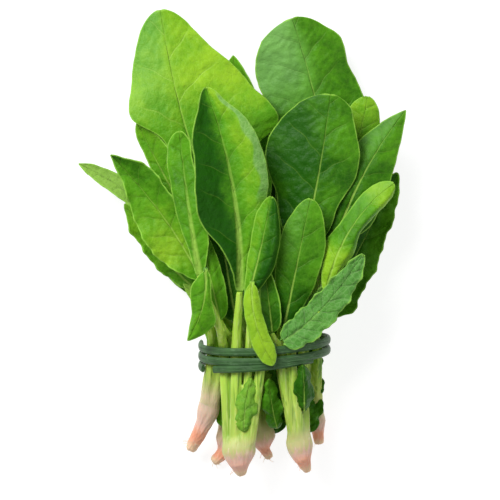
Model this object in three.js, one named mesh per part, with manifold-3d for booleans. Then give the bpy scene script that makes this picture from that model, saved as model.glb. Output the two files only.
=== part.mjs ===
// A tied bunch of fresh spinach, lying down as it would on a table.
// Six pulled plants are held by one green strand wound round their stalks. Each plant has a pink crown
// with a tap root, a spray of pale stalks that grow from the crown, and one broad blade on each stalk.
// Millimetres. +X is to the right seen from above, +Y points from the roots to the leaf tips, +Z is up.
// The surface that the bunch lies on is z = 0.
import * as THREE from "three";
import Module from "manifold-3d";
import { mergeVertices } from "three/addons/utils/BufferGeometryUtils.js";

const wasm = await Module();
wasm.setup();

// Layout. Places seen from above are in table units: u to the right, v towards the roots.
const UNIT_MM = 0.64; // real size of one table unit, from a bunch 300 mm long
const TABLE_CENTRE = [242, 242];

// Blades
const BLADE_THICK = 0.8;
const BLADE_COLUMNS = [-1, -0.7, -0.36, 0, 0.36, 0.7, 1]; // across the blade, -1 is its left margin
const TIP_END = 0.993; // share of the midrib where the blade's last edge lies
const RIB_DEPTH = 0.8; // how far the midrib stands under the blade, as a share of the stalk's thickness
const EDGE_SHARES = [0.08, 0.2, 0.35, 0.5, 0.65, 0.8, 0.92];
const LIP_START = 0.7; // share of a side's width where a turned margin starts
const BASE_ROUNDING = 0.6; // shape of the outline between the midrib's start and the first share
const CLEAR = 1.1; // air between a leaf and what it lies on
const CELL_SAMPLES = 5; // points along each side of a blade's cell that are kept clear

// Stalks
const STALK_SIDES = 6;
const STALK_TIE_RADIUS = 2.9;
const STALK_COLLAR_SHARE = 1.2; // radius at the crown, against the radius at the tie
const STALK_END_SHARE = 0.62; // radius at the blade
const BLADE_GAP = 1.3; // between a stalk and its blade
const CROWN_GAP = 0.5; // between the stalks and their crown

// Tie: a flat strand wound round the stalks in a slanted ring
const TIE_AT = [264.5, 348]; // table units, middle of the ring's front
const TIE_HALF_WIDTH = 41.2; // middle of the strand, in X
const TIE_HALF_HEIGHT = 26.6; // middle of the strand, in Z
const TIE_RING_Z = 28.05;
const STRAND_WIDTH = 5.4;
const STRAND_THICK = 3.0;
const STRAND_PITCH = 6.4; // one turn to the next
const STRAND_SLANT = 5.0; // how far the ring's front sits nearer the roots than its axis
const STRAND_SKEW = 3.6; // how far the ring's right side sits nearer the leaves
const STRAND_SIDES = 8;
const TIE_REACH = 6; // length of stalk that the tie holds straight, from the ring's middle upward

// Crowns and roots
const SMALLEST_EDGE = 0.02; // slivers finer than this are removed after stalks are fused
const ROOT_SIDES = 10;
const CROWN_FLATNESS = 0.78;
const FOOT_LENGTH = 9; // of the clasping foot of the stalks

// The plants. collar is where the stalks leave the crown and root is the end of the tap root: table
// units, then height in mm. spread is the half width of the collar.
const PLANTS = {
  rear_left: { collar: [229, 437, 8.5], root: [213, 464, 5.5], spread: 9.5,
    rootRadius: 3.4, crown: "slim" },
  rear_middle: { collar: [262, 434, 17], root: [270, 459, 12], spread: 10,
    rootRadius: 2.6, crown: "slim" },
  rear_right: { collar: [317, 420, 8], root: [320, 446, 5], spread: 7,
    rootRadius: 3.0, crown: "slim" },
  left: { collar: [209, 407, 25], root: [190, 451, 13], spread: 8.2,
    rootRadius: 4.0, crown: "slim" },
  right: { collar: [299, 440, 36], root: [308, 471, 30], spread: 9.5,
    rootRadius: 3.4, crown: "cone" },
  front: { collar: [239, 446, 40], root: [242, 474, 36], spread: 12,
    rootRadius: 4.0, crown: "cone" },
};

// Shapes of a crown with its tap root: share of the way from the collar to the root's end, then the
// radius there, as a share of the spread plus a share of the root's radius.
const CROWN_SHAPES = {
  slim: [
    [0, 0.9, 0], [0.15, 0.9, 0], [0.32, 0.7, 0.05], [0.47, 0.3, 0.62], [0.6, 0, 1.08],
    [0.78, 0, 1], [0.95, 0, 0.9], [1, 0, 0.7],
  ],
  cone: [
    [0, 0.94, 0], [0.16, 0.92, 0], [0.34, 0.76, 0], [0.52, 0.55, 0.05], [0.68, 0.34, 0.2],
    [0.82, 0.12, 0.6], [0.95, 0, 0.72], [1, 0, 0.5],
  ],
};

// The leaves, from the lowest to the topmost. tie is the stalk's place in the ring, in mm from the
// ring's middle. base, bend and tip draw the blade's midrib in table units, and rise is its height
// over the table at those three points, in mm. cup lifts both margins, roll lifts the right margin and
// sinks the left one, lip turns the left and right margins down again, and wave is the height of the
// margin's waves. left and right are the widths of the blade's two sides at EDGE_SHARES of the midrib,
// in table units, and taper is low for a round tip. A plainer blade has half, the greatest width of
// each side in mm, and shoulder and point: a low shoulder is a broad base, and a low point is a round
// tip.
const LEAVES = [
  { name: "under_left", plant: "rear_left", tie: [-19, -16.5], base: [215, 285], bend: [185, 170],
    tip: [170, 42], half: [23, 25], rise: [7, -7, 0], cup: 0.6, roll: 0, wave: 0.8, waves: 3,
    shoulder: 0.5, point: 0.55 },
  { name: "under_middle", plant: "rear_middle", tie: [0, -20.2], base: [262, 285], bend: [262, 180],
    tip: [262, 92], half: [22, 24], rise: [7, -7, 0], cup: 0.6, roll: 0, wave: 0.6, waves: 2,
    shoulder: 0.5, point: 0.5 },
  { name: "under_right", plant: "rear_right", tie: [19, -16.5], base: [312, 285], bend: [348, 215],
    tip: [382, 138], half: [17, 17], rise: [7, -6, 0], cup: 0.6, roll: 0, wave: 0.8, waves: 3,
    shoulder: 0.45, point: 0.7 },
  { name: "far_right", plant: "rear_middle", tie: [9.8, -19.2], base: [298, 270], bend: [322, 160],
    tip: [322, 40], half: [24, 24], rise: [8, 2, 4], cup: 2, roll: 0, wave: 1.0, waves: 2,
    shoulder: 0.5, point: 0.5 },
  { name: "far_left", plant: "rear_left", tie: [-9.8, -19.2], base: [205, 290], bend: [160, 235],
    tip: [133, 180], half: [14, 15], rise: [10, 2, 4], cup: 1, roll: 0, wave: 1.2, waves: 3,
    shoulder: 0.4, point: 0.75 },
  { name: "middle_peak", plant: "rear_middle", tie: [-5, -10], base: [245, 225], bend: [240, 140],
    tip: [233, 53], half: [22, 20], rise: [14, 7, 14], cup: 3, roll: 2, wave: 1.0, waves: 2,
    shoulder: 0.5, point: 0.8 },
  { name: "pale_point", plant: "rear_left", tie: [-28, -12.5], base: [195, 262], bend: [150, 196],
    tip: [77, 163], left: [4, 7, 9, 10, 10, 9, 6], right: [4, 7, 9, 10, 10, 9, 6],
    rise: [16, 10, 20], cup: 3, roll: -2, wave: 0.8, waves: 2, taper: 0.8 },
  { name: "top_right", plant: "rear_middle", tie: [5, -10], base: [335, 195], bend: [318, 90],
    tip: [292, 17], left: [22, 38, 45, 45, 52, 49, 37], right: [24, 40, 48, 47, 41, 41, 25],
    rise: [20, 20, 28], cup: -5, roll: 0, wave: 1.6, waves: 2.5, taper: 0.5 },
  { name: "right_light", plant: "rear_right", tie: [28, -12.5], base: [338, 195], bend: [362, 140],
    tip: [368, 96], half: [15, 13], rise: [22, 26, 32], cup: -3, roll: 0, wave: 1.0, waves: 2,
    shoulder: 0.45, point: 0.5 },
  { name: "left_frill", plant: "rear_left", tie: [-18, -8], base: [196, 290], bend: [160, 262],
    tip: [124, 203], left: [5, 8, 11, 12.5, 11, 11, 6], right: [5, 10, 14, 16, 15, 10, 6],
    rise: [16, 12, 20], cup: 2, roll: 0, wave: 2.0, waves: 4, taper: 0.6 },
  { name: "left_scrap", plant: "left", tie: [-26, -1.5], base: [206, 308], bend: [196, 296],
    tip: [183, 284], half: [4, 4], rise: [20, 18, 22], cup: 1, roll: 0, wave: 0.8, waves: 2,
    shoulder: 0.45, point: 0.7 },
  { name: "left_sliver", plant: "left", tie: [-34, -1], base: [182, 208], bend: [158, 165],
    tip: [137, 122], left: [5, 8, 8, 9, 8, 8, 6], right: [6, 13, 17, 18, 16, 12, 8],
    rise: [30, 30, 34], cup: 3, roll: 4, wave: 1.0, waves: 2, taper: 0.6 },
  { name: "right_curl", plant: "rear_right", tie: [34, 0], base: [318, 326], bend: [352, 268],
    tip: [398, 172], left: [6, 14, 18, 20, 20, 18, 10], right: [4, 23, 22, 24.5, 19.5, 17, 10],
    rise: [24, 20, 30], cup: 5, roll: -3, wave: 2.6, waves: 4, taper: 0.6 },
  { name: "core_right", plant: "right", tie: [15, -1], base: [298, 326], bend: [318, 262],
    tip: [344, 205], half: [13, 12], rise: [33, 33, 38], cup: 2, roll: 0, wave: 0.8, waves: 2,
    shoulder: 0.4, point: 0.6 },
  { name: "right_point", plant: "rear_right", tie: [25.5, -1.5], base: [338, 232], bend: [362, 165],
    tip: [406, 110], half: [18, 19], rise: [32, 34, 38], cup: -3, roll: 0, wave: 1.2, waves: 2,
    shoulder: 0.35, point: 0.85 },
  { name: "top_left", plant: "rear_middle", tie: [-14, 0.8], base: [203, 178], bend: [178, 118],
    tip: [160, 9], left: [12, 20, 26, 50, 43.5, 34, 23], right: [56, 88, 89, 76, 63, 41, 25],
    rise: [38, 38, 32], cup: -6, roll: -4, wave: 2.4, waves: 2.5, taper: 0.5 },
  { name: "middle_right", plant: "right", tie: [10, 10], base: [300, 262], bend: [322, 170],
    tip: [330, 95], left: [14, 28, 38, 53, 56, 46, 31], right: [10, 20, 25, 36, 37, 29, 23],
    rise: [42, 46, 50], cup: -5, roll: 2, wave: 1.4, waves: 2.5, taper: 0.5 },
  { name: "left_point", plant: "left", tie: [-26.6, 6.2], base: [200, 278], bend: [170, 215],
    tip: [111, 155], left: [12, 23, 29, 28, 22, 12, 6], right: [4, 8, 15, 18, 20, 20, 9],
    rise: [40, 40, 46], cup: 4, roll: 2, wave: 2.4, waves: 3, taper: 0.8 },
  { name: "right_fold", plant: "right", tie: [17, 8], base: [299, 326], bend: [322, 300],
    tip: [362, 256], left: [10, 12, 12, 10, 9, 8, 6], right: [6, 9, 10, 9, 9, 8, 6],
    rise: [45, 46, 49], cup: 2, roll: 0, wave: 1.0, waves: 3, taper: 0.6 },
  { name: "right_roll", plant: "right", tie: [24.5, 7], base: [326, 290], bend: [340, 222],
    tip: [393, 184], left: [6, 10, 15, 12, 12, 13, 10], right: [5, 9, 14, 10, 11, 11.5, 10],
    rise: [40, 48, 54], cup: -2, roll: 2, lip: [0, 4], wave: 0.8, waves: 2, taper: 0.5 },
  { name: "core_left", plant: "front", tie: [-9.5, 10], base: [236, 320], bend: [222, 250],
    tip: [213, 160], half: [11, 14], rise: [40, 38, 42], cup: 2, roll: 0, wave: 0.8, waves: 2,
    shoulder: 0.45, point: 0.6 },
  { name: "left_drop", plant: "left", tie: [-33, 6.6], base: [206, 272], bend: [210, 305],
    tip: [188, 340], left: [3, 4, 6, 11, 17, 13, 6], right: [7, 13, 14.5, 12, 8.5, 6, 3],
    rise: [56, 54, 46], cup: -2, roll: 0, wave: 1.0, waves: 2, taper: 0.8, back: true },
  { name: "left_blade", plant: "front", tie: [-19.5, 8.2], base: [220, 318], bend: [210, 274],
    tip: [199, 222], half: [7, 8], rise: [40, 42, 47], cup: 1.5, roll: 2, wave: 1.0, waves: 3,
    shoulder: 0.45, point: 0.7 },
  { name: "low_oval", plant: "right", tie: [17, 17.6], base: [284, 326], bend: [296, 268],
    tip: [310, 199], left: [5, 10.5, 18, 21, 22, 19, 12], right: [8, 14, 20.5, 23, 24.5, 20.5, 14],
    rise: [48, 58, 60], cup: -3, roll: 0, wave: 0.8, waves: 2, taper: 0.5 },
  { name: "low_slip", plant: "right", tie: [9.8, 19.8], base: [272, 331], bend: [270, 310],
    tip: [264, 264], half: [6, 7], rise: [53, 55, 56], cup: 2, roll: 0, wave: 0.6, waves: 2,
    shoulder: 0.5, point: 0.6 },
  { name: "left_curl", plant: "front", tie: [-26, 14], base: [200, 274], bend: [188, 205],
    tip: [180, 132], left: [3, 6, 11, 14, 15, 16, 13], right: [7, 13, 15, 15, 12.5, 10, 10],
    rise: [50, 56, 58], cup: 3, roll: 2, lip: [3, 0], wave: 1.2, waves: 2, taper: 0.5 },
  { name: "tall_fold", plant: "front", tie: [-18, 18], base: [240, 290], bend: [244, 190],
    tip: [206, 89], left: [5, 16, 36, 38, 33, 28, 14], right: [4, 9, 24, 35, 36, 29, 13],
    rise: [54, 60, 64], cup: 10, roll: 0, lip: [0, 7], wave: 1.4, waves: 2.5, taper: 0.55 },
  { name: "hanging_tongue", plant: "front", tie: [-10, 19.9], base: [252, 284], bend: [250, 324],
    tip: [273, 364], left: [5, 7, 8, 9, 9.5, 10, 8], right: [5, 8, 9, 9, 10, 10, 8],
    rise: [62, 63, 60], cup: -2, roll: 0, wave: 0.6, waves: 2, taper: 0.6, back: true },
  { name: "middle_cup", plant: "front", tie: [-2, 20.8], base: [248, 296], bend: [262, 250],
    tip: [271, 197], left: [4, 7, 10, 11, 12, 12, 8], right: [6, 12, 17, 17.5, 16.5, 12, 8],
    rise: [56, 62, 68], cup: 1, roll: 4, lip: [0, 8], wave: 0.8, waves: 2, taper: 0.5 },
];

// Small inner leaves that show between the stalks below the tie. Their stalks are too short to see.
const INNER_LEAVES = [
  { name: "inner_front", base: [244, 430], bend: [244, 404], tip: [251, 377], half: [6, 7],
    rise: [40, 45, 46], cup: 2, roll: 0, wave: 1.2, waves: 3, shoulder: 0.5, point: 0.6 },
  { name: "inner_middle", base: [277, 428], bend: [270, 404], tip: [269, 378], half: [6, 6],
    rise: [30, 40, 44], cup: 2, roll: 0, wave: 1.4, waves: 3, shoulder: 0.5, point: 0.6 },
  { name: "inner_right", base: [304, 408], bend: [304, 388], tip: [302, 364], half: [6, 6],
    rise: [34, 42, 46], cup: 1, roll: 0, wave: 1.0, waves: 3, shoulder: 0.5, point: 0.6 },
];

// Colours. A leaf with no tone of its own is dark.
const LEAF_COLOURS = { dark: 0x3f7a22, mid: 0x5f9728, light: 0x86b53a, pale: 0x9bc25a };
const LEAF_TONES = {
  mid: ["far_left", "middle_peak", "left_sliver", "left_point", "left_blade", "left_curl", "tall_fold",
    "middle_cup", "left_drop"],
  light: ["top_left", "right_light", "left_frill", "right_roll", "hanging_tongue", "inner_front"],
  pale: ["pale_point", "left_scrap", "right_fold"],
};
const STALK_COLOUR = 0xa8c450;
const CROWN_COLOUR = 0xe0b3a2;
const TIE_COLOUR = 0x466e38;

// Plain maths

function spot([u, v], z = 0) {
  return new THREE.Vector3((u - TABLE_CENTRE[0]) * UNIT_MM, (TABLE_CENTRE[1] - v) * UNIT_MM, z);
}

const TIE = spot(TIE_AT, TIE_RING_Z);

// A closed skin through rings that all have the same number of points. foldAt is the point where a
// flat ring turns back under itself: from there on the quads split the other way, so that a thin
// blade has the same triangles on both faces.
function skin(rings, foldAt = Infinity) {
  const count = rings[0].length;
  const positions = rings.flat().flatMap((p) => [p.x, p.y, p.z]);
  const index = [];
  for (let i = 0; i + 1 < rings.length; i++) {
    for (let j = 0; j < count; j++) {
      const next = (j + 1) % count;
      const [a, b, c, d] = [i * count + j, i * count + next, (i + 1) * count + next, (i + 1) * count + j];
      if (j < foldAt) index.push(a, b, c, a, c, d);
      else index.push(a, b, d, b, c, d);
    }
  }
  const last = (rings.length - 1) * count;
  if (foldAt === Infinity) {
    for (let j = 1; j + 1 < count; j++) {
      index.push(0, j + 1, j, last, last + j, last + j + 1);
    }
  } else {
    for (let j = 0; j + 1 < count / 2; j++) {
      const [p, q, r, s] = [j, j + 1, count - 2 - j, count - 1 - j];
      index.push(p, r, q, p, s, r, last + p, last + q, last + r, last + p, last + r, last + s);
    }
  }
  const geometry = new THREE.BufferGeometry();
  geometry.setAttribute("position", new THREE.Float32BufferAttribute(positions, 3));
  geometry.setIndex(index);
  return geometry;
}

// An oval ring of points round a centre, square to a direction, and as upright as that allows.
function oval(centre, direction, halfWidth, halfHeight, sides, turn = 0) {
  const side = new THREE.Vector3().crossVectors(direction, new THREE.Vector3(0, 0, 1)).normalize();
  const up = new THREE.Vector3().crossVectors(side, direction).normalize();
  return Array.from({ length: sides }, (_, k) => {
    const angle = turn + (2 * Math.PI * k) / sides;
    return centre
      .clone()
      .addScaledVector(side, halfWidth * Math.cos(angle))
      .addScaledVector(up, halfHeight * Math.sin(angle));
  });
}

function solidOf(geometry) {
  const merged = mergeVertices(geometry, 1e-4);
  return new wasm.Manifold(
    new wasm.Mesh({
      numProp: 3,
      vertProperties: new Float32Array(merged.attributes.position.array),
      triVerts: new Uint32Array(merged.index.array),
    }),
  );
}

function geometryOf(solid) {
  const mesh = solid.getMesh();
  const geometry = new THREE.BufferGeometry();
  geometry.setAttribute("position", new THREE.BufferAttribute(new Float32Array(mesh.vertProperties), 3));
  geometry.setIndex(new THREE.BufferAttribute(new Uint32Array(mesh.triVerts), 1));
  return geometry;
}

function fuse(geometries) {
  return geometryOf(geometries.map(solidOf).reduce((all, one) => all.add(one)).simplify(SMALLEST_EDGE));
}

// The pile: the height of what lies below, on a square grid of 1 mm cells. Every leaf is laid on it.
const PILE_HALF_X = 125;
const PILE_HALF_Y = 165;
const pile = new Float32Array((2 * PILE_HALF_X + 1) * (2 * PILE_HALF_Y + 1));

function pileCell(x, y) {
  const column = Math.round(x) + PILE_HALF_X;
  const row = Math.round(y) + PILE_HALF_Y;
  return row * (2 * PILE_HALF_X + 1) + column;
}

// The lowest height for a flat patch, or for the middle of a ball, that rests on the pile.
function pileRest(x, y, radius, ball) {
  const reach = Math.ceil(radius);
  let rest = 0;
  for (let dx = -reach; dx <= reach; dx++) {
    for (let dy = -reach; dy <= reach; dy++) {
      const below = pile[pileCell(x + dx, y + dy)];
      const bulge = radius * radius - dx * dx - dy * dy;
      if (below > 0 && bulge >= 0) rest = Math.max(rest, below + (ball ? Math.sqrt(bulge) : 0));
    }
  }
  return rest;
}

function layOnPile(geometry) {
  const position = geometry.getAttribute("position");
  const index = geometry.getIndex();
  const corners = [new THREE.Vector3(), new THREE.Vector3(), new THREE.Vector3()];
  const weights = new THREE.Vector3();
  const triangle = new THREE.Triangle();
  for (let t = 0; t < index.count; t += 3) {
    corners.forEach((corner, k) => corner.fromBufferAttribute(position, index.getX(t + k)));
    const box = new THREE.Box3().setFromPoints(corners);
    const flat = corners.map((corner) => corner.clone().setZ(0));
    triangle.set(...flat);
    if (triangle.getArea() < 1e-6) continue;
    for (let x = Math.floor(box.min.x); x <= Math.ceil(box.max.x); x++) {
      for (let y = Math.floor(box.min.y); y <= Math.ceil(box.max.y); y++) {
        triangle.getBarycoord(new THREE.Vector3(x, y, 0), weights);
        if (Math.min(weights.x, weights.y, weights.z) < -0.02) continue;
        const z = weights.x * corners[0].z + weights.y * corners[1].z + weights.z * corners[2].z;
        const cell = pileCell(x, y);
        pile[cell] = Math.max(pile[cell], z);
      }
    }
  }
}

// The blade of a leaf

// The greatest width of a side, in mm. Side 0 is the left, side 1 the right.
function widest(leaf, side) {
  if (leaf.half) return leaf.half[side];
  return Math.max(...(side ? leaf.right : leaf.left)) * UNIT_MM;
}

function stalkRadius(leaf) {
  const [left, right] = [widest(leaf, 0), widest(leaf, 1)];
  const largest = Math.max(left, right) > 20 ? 1.12 : 1;
  const smallest = left + right < 16 ? 0.72 : 1;
  return STALK_TIE_RADIUS * largest * smallest;
}

// Width of a side at a share of the midrib, in mm.
function widthAt(leaf, side, s) {
  if (leaf.half) {
    const top = leaf.shoulder / (leaf.shoulder + leaf.point);
    return leaf.half[side] * (s / top) ** leaf.shoulder * ((1 - s) / (1 - top)) ** leaf.point;
  }
  const widths = (side ? leaf.right : leaf.left).map((width) => width * UNIT_MM);
  const last = EDGE_SHARES.length - 1;
  if (s <= EDGE_SHARES[0]) return widths[0] * (s / EDGE_SHARES[0]) ** BASE_ROUNDING;
  if (s >= EDGE_SHARES[last]) return widths[last] * ((1 - s) / (1 - EDGE_SHARES[last])) ** leaf.taper;
  const slope = (k) => {
    const [a, b] = [Math.max(k - 1, 0), Math.min(k + 1, last)];
    return (widths[b] - widths[a]) / (EDGE_SHARES[b] - EDGE_SHARES[a]);
  };
  const k = EDGE_SHARES.findIndex((share) => share > s) - 1;
  const span = EDGE_SHARES[k + 1] - EDGE_SHARES[k];
  const f = (s - EDGE_SHARES[k]) / span;
  const start = widths[k] * (1 + 2 * f) * (1 - f) ** 2 + slope(k) * span * f * (1 - f) ** 2;
  const end = widths[k + 1] * f * f * (3 - 2 * f) + slope(k + 1) * span * f * f * (f - 1);
  return start + end;
}

// The blade's middle surface, as a grid of points: one row for each step along the midrib.
function bladeGrid(leaf) {
  const midrib = new THREE.QuadraticBezierCurve3(
    spot(leaf.base, leaf.rise[0]),
    spot(leaf.bend, leaf.rise[1]),
    spot(leaf.tip, leaf.rise[2]),
  );
  const length = midrib.getLength();
  const steps = Math.max(5, Math.min(12, Math.round(length / 10.5)));
  const neck = stalkRadius(leaf) * STALK_END_SHARE;
  const rows = [];
  for (let i = 0; i <= steps; i++) {
    const s = (TIP_END * (1 - Math.cos((Math.PI * i) / steps))) / 2;
    const centre = midrib.getPoint(s);
    const along = midrib.getTangent(s);
    const across = new THREE.Vector3(along.y, -along.x, 0).normalize();
    rows.push(
      BLADE_COLUMNS.map((t) => {
        const side = t < 0 ? 0 : 1;
        const width = widthAt(leaf, side, s);
        const outline = width / widest(leaf, side);
        const half = width + neck * (1 - s) ** 4;
        const edge = Math.abs(t);
        const phase = leaf.waves * s + (t < 0 ? 0 : 0.37);
        const point = centre.clone().addScaledVector(across, t * half);
        const lip = leaf.lip ? leaf.lip[side] * Math.max(0, (edge - LIP_START) / (1 - LIP_START)) : 0;
        point.z += outline * (leaf.cup * edge ** 1.6 + leaf.roll * t - lip);
        point.z += outline * leaf.wave * edge ** 2.5 * Math.sin(2 * Math.PI * phase);
        return point;
      }),
    );
  }
  return { rows, midrib, neck };
}

function ribUnder(t, share, neck) {
  return t === 0 ? 2 * neck * RIB_DEPTH * (1 - share) ** 0.7 : 0;
}

// Lifts a grid of points until every cell of it is clear of the pile, and smooths the lift.
function liftClear(rows, under) {
  const lift = rows.map((row) => row.map(() => 0));
  const mix = (a, b, c, d, u, v, part) =>
    (a[part] * (1 - u) + b[part] * u) * (1 - v) + (d[part] * (1 - u) + c[part] * u) * v;
  for (let i = 0; i + 1 < rows.length; i++) {
    for (let j = 0; j + 1 < rows[0].length; j++) {
      const corners = [rows[i][j], rows[i][j + 1], rows[i + 1][j + 1], rows[i + 1][j]];
      const depth = Math.max(under(i, j), under(i, j + 1));
      let need = 0;
      for (let p = 0; p <= CELL_SAMPLES; p++) {
        for (let q = 0; q <= CELL_SAMPLES; q++) {
          const [u, v] = [p / CELL_SAMPLES, q / CELL_SAMPLES];
          const [x, y, z] = ["x", "y", "z"].map((part) => mix(...corners, u, v, part));
          const below = pileRest(x, y, 2, false);
          if (below > 0) need = Math.max(need, below + CLEAR + BLADE_THICK / 2 + depth - z);
        }
      }
      for (const [a, b] of [[i, j], [i, j + 1], [i + 1, j], [i + 1, j + 1]]) {
        lift[a][b] = Math.max(lift[a][b], need);
      }
    }
  }
  const near = (grid, i, j, use) => {
    const found = [];
    for (let a = Math.max(0, i - 1); a <= Math.min(rows.length - 1, i + 1); a++) {
      found.push(...grid[a].slice(Math.max(0, j - 1), j + 2));
    }
    return use(found);
  };
  const grown = lift.map((row, i) => row.map((_, j) => near(lift, i, j, (found) => Math.max(...found))));
  rows.forEach((row, i) =>
    row.forEach((point, j) => {
      point.z += near(grown, i, j, (found) => found.reduce((a, b) => a + b) / found.length);
      point.z = Math.max(point.z, BLADE_THICK / 2);
    }),
  );
}

// The closed blade: the grid's upper face, and its lower face with the midrib standing out of it.
function bladeSkin(rows, neck) {
  const normalAt = (i, j) => {
    const [up, down] = [rows[Math.min(i + 1, rows.length - 1)][j], rows[Math.max(i - 1, 0)][j]];
    const [right, left] = [rows[i][Math.min(j + 1, rows[0].length - 1)], rows[i][Math.max(j - 1, 0)]];
    return right.clone().sub(left).cross(up.clone().sub(down)).normalize();
  };
  const rings = rows.map((row, i) => {
    const upper = row.map((point, j) => point.clone().addScaledVector(normalAt(i, j), BLADE_THICK / 2));
    const lower = row.map((point, j) => {
      const depth = ribUnder(BLADE_COLUMNS[j], i / (rows.length - 1), neck);
      const under = point.clone().addScaledVector(normalAt(i, j), -BLADE_THICK / 2 - depth);
      return under.setZ(Math.max(under.z, 0));
    });
    return [...upper, ...lower.reverse()];
  });
  return skin(rings, rows[0].length);
}

function layBlade(leaf) {
  const { rows, midrib, neck } = bladeGrid(leaf);
  liftClear(rows, (i, j) => ribUnder(BLADE_COLUMNS[j], i / (rows.length - 1), neck));
  return { rows, neck, start: rows[0][3].clone(), heading: midrib.getTangent(0).setZ(0).normalize() };
}

// The stalk of a leaf, from its crown through the tie to its blade

function collarOf(plant, leaves) {
  const [u, v, z] = plant.collar;
  const centre = spot([u, v], z);
  const slots = leaves.map((leaf) => new THREE.Vector3(leaf.tie[0], 0, leaf.tie[1]));
  const middle = new THREE.Vector3();
  slots.forEach((slot) => middle.addScaledVector(slot, 1 / slots.length));
  const reach = Math.max(...slots.map((slot) => slot.distanceTo(middle)));
  const axis = TIE.clone().add(middle).sub(centre).normalize();
  const shrink = (plant.spread - STALK_TIE_RADIUS * STALK_COLLAR_SHARE) / reach;
  return { centre, axis, middle, shrink };
}

function stalkPath(leaf, collar, end, heading) {
  const slot = new THREE.Vector3(TIE.x + leaf.tie[0], TIE.y, TIE.z + leaf.tie[1]);
  const offset = new THREE.Vector3(leaf.tie[0], 0, leaf.tie[1]).sub(collar.middle);
  offset.multiplyScalar(collar.shrink);
  offset.addScaledVector(collar.axis, -offset.dot(collar.axis));
  const foot = collar.centre.clone().add(offset).addScaledVector(collar.axis, CROWN_GAP + 1.7);
  const below = new THREE.CubicBezierCurve3(
    foot,
    foot.clone().addScaledVector(collar.axis, foot.distanceTo(slot) / 3),
    slot.clone().add(new THREE.Vector3(0, -foot.distanceTo(slot) / 3, 0)),
    slot,
  );
  const span = slot.distanceTo(end);
  const above = new THREE.CubicBezierCurve3(
    slot,
    slot.clone().add(new THREE.Vector3(0, span / 3, 0)),
    end.clone().addScaledVector(heading, -span / 3),
    end,
  );
  return { below, above, span };
}

// Points above the tie, lifted over what they cross.
function liftStalk(above, steps, radius) {
  const fine = steps * 4;
  const points = Array.from({ length: fine + 1 }, (_, k) => above.getPoint(k / fine));
  const need = points.map((point, k) => {
    const rest = pileRest(point.x, point.y, radius + CLEAR, true);
    return k === 0 || k === fine || rest === 0 ? 0 : Math.max(0, rest - point.z);
  });
  const window = (list, k, reach) => list.slice(Math.max(0, k - reach), k + reach + 1);
  const grown = need.map((_, k) => Math.max(...window(need, k, 5)));
  const lifted = points.map((point, k) => {
    const near = window(grown, k, 3);
    const mean = near.reduce((a, b) => a + b) / near.length;
    const free = THREE.MathUtils.clamp((point.distanceTo(points[0]) - TIE_REACH) / 3, 0, 1);
    const lift = free * Math.max(need[k], Math.min(1, (fine - k) / 3) * mean);
    return point.clone().setZ(Math.max(point.z + lift, radius));
  });
  return lifted.filter((_, k) => k % 4 === 0);
}

function layStalk(leaf, collar, end, heading) {
  const radius = stalkRadius(leaf);
  const stop = end.clone().addScaledVector(heading, -BLADE_GAP);
  const { below, above, span } = stalkPath(leaf, collar, stop, heading);
  const lower = Array.from({ length: 6 }, (_, k) => below.getPoint(k / 6));
  const steps = Math.max(3, Math.round(span / 13));
  const upper = liftStalk(above, steps, radius);
  const points = [...lower, ...upper];
  const rings = points.map((point, k) => {
    const before = points[Math.max(0, k - 1)];
    const after = points[Math.min(points.length - 1, k + 1)];
    let direction = after.clone().sub(before).normalize();
    if (k === 0) direction = collar.axis;
    const share = k < 6
      ? THREE.MathUtils.lerp(STALK_COLLAR_SHARE, 1, k / 6)
      : THREE.MathUtils.lerp(1, STALK_END_SHARE, (k - 6) / steps);
    return oval(point, direction, radius * share, radius * share, STALK_SIDES, Math.PI / 6).reverse();
  });
  return skin(rings);
}

// The clasping foot that joins the stalks of a plant where they leave the crown.
function footSkin(plant, collar) {
  const rings = [[0, 0.86], [0.4, 0.74], [1, 0.4]].map(([share, size]) =>
    oval(
      collar.centre.clone().addScaledVector(collar.axis, CROWN_GAP + share * FOOT_LENGTH),
      collar.axis,
      plant.spread * size,
      plant.spread * size * CROWN_FLATNESS,
      ROOT_SIDES,
    ).reverse(),
  );
  return skin(rings);
}

// Crown and tap root of a plant: one body that narrows into the root, along one bent axis.
function crownSkin(plant, collar) {
  const [u, v, z] = plant.root;
  const end = spot([u, v], z);
  const length = collar.centre.distanceTo(end);
  const bulb = Math.min(length * 0.62, plant.spread * 1.25);
  const path = new THREE.QuadraticBezierCurve3(
    collar.centre,
    collar.centre.clone().addScaledVector(collar.axis, -bulb),
    end,
  );
  const rings = CROWN_SHAPES[plant.crown].map(([share, wide, thin]) => {
    const radius = wide * plant.spread + thin * plant.rootRadius;
    const direction = path.getTangent(share);
    if (share === 0) direction.copy(collar.axis).negate();
    const flat = share < 0.5 ? CROWN_FLATNESS : 1;
    return oval(path.getPoint(share), direction, radius, radius * flat, ROOT_SIDES).reverse();
  });
  rings.forEach((ring) => ring.forEach((point) => point.setZ(Math.max(point.z, 0))));
  return skin(rings);
}

// The tie: two turns and a half of a flat strand, a loop that holds the turns together, and loose ends

function strandPoint(angle) {
  const turns = (Math.PI - angle) / (2 * Math.PI);
  return new THREE.Vector3(
    TIE.x + TIE_HALF_WIDTH * Math.cos(angle),
    TIE.y + STRAND_SLANT * (1 - Math.sin(angle)) + STRAND_SKEW * Math.cos(angle) - STRAND_PITCH * turns,
    TIE.z + TIE_HALF_HEIGHT * Math.sin(angle),
  );
}

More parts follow.
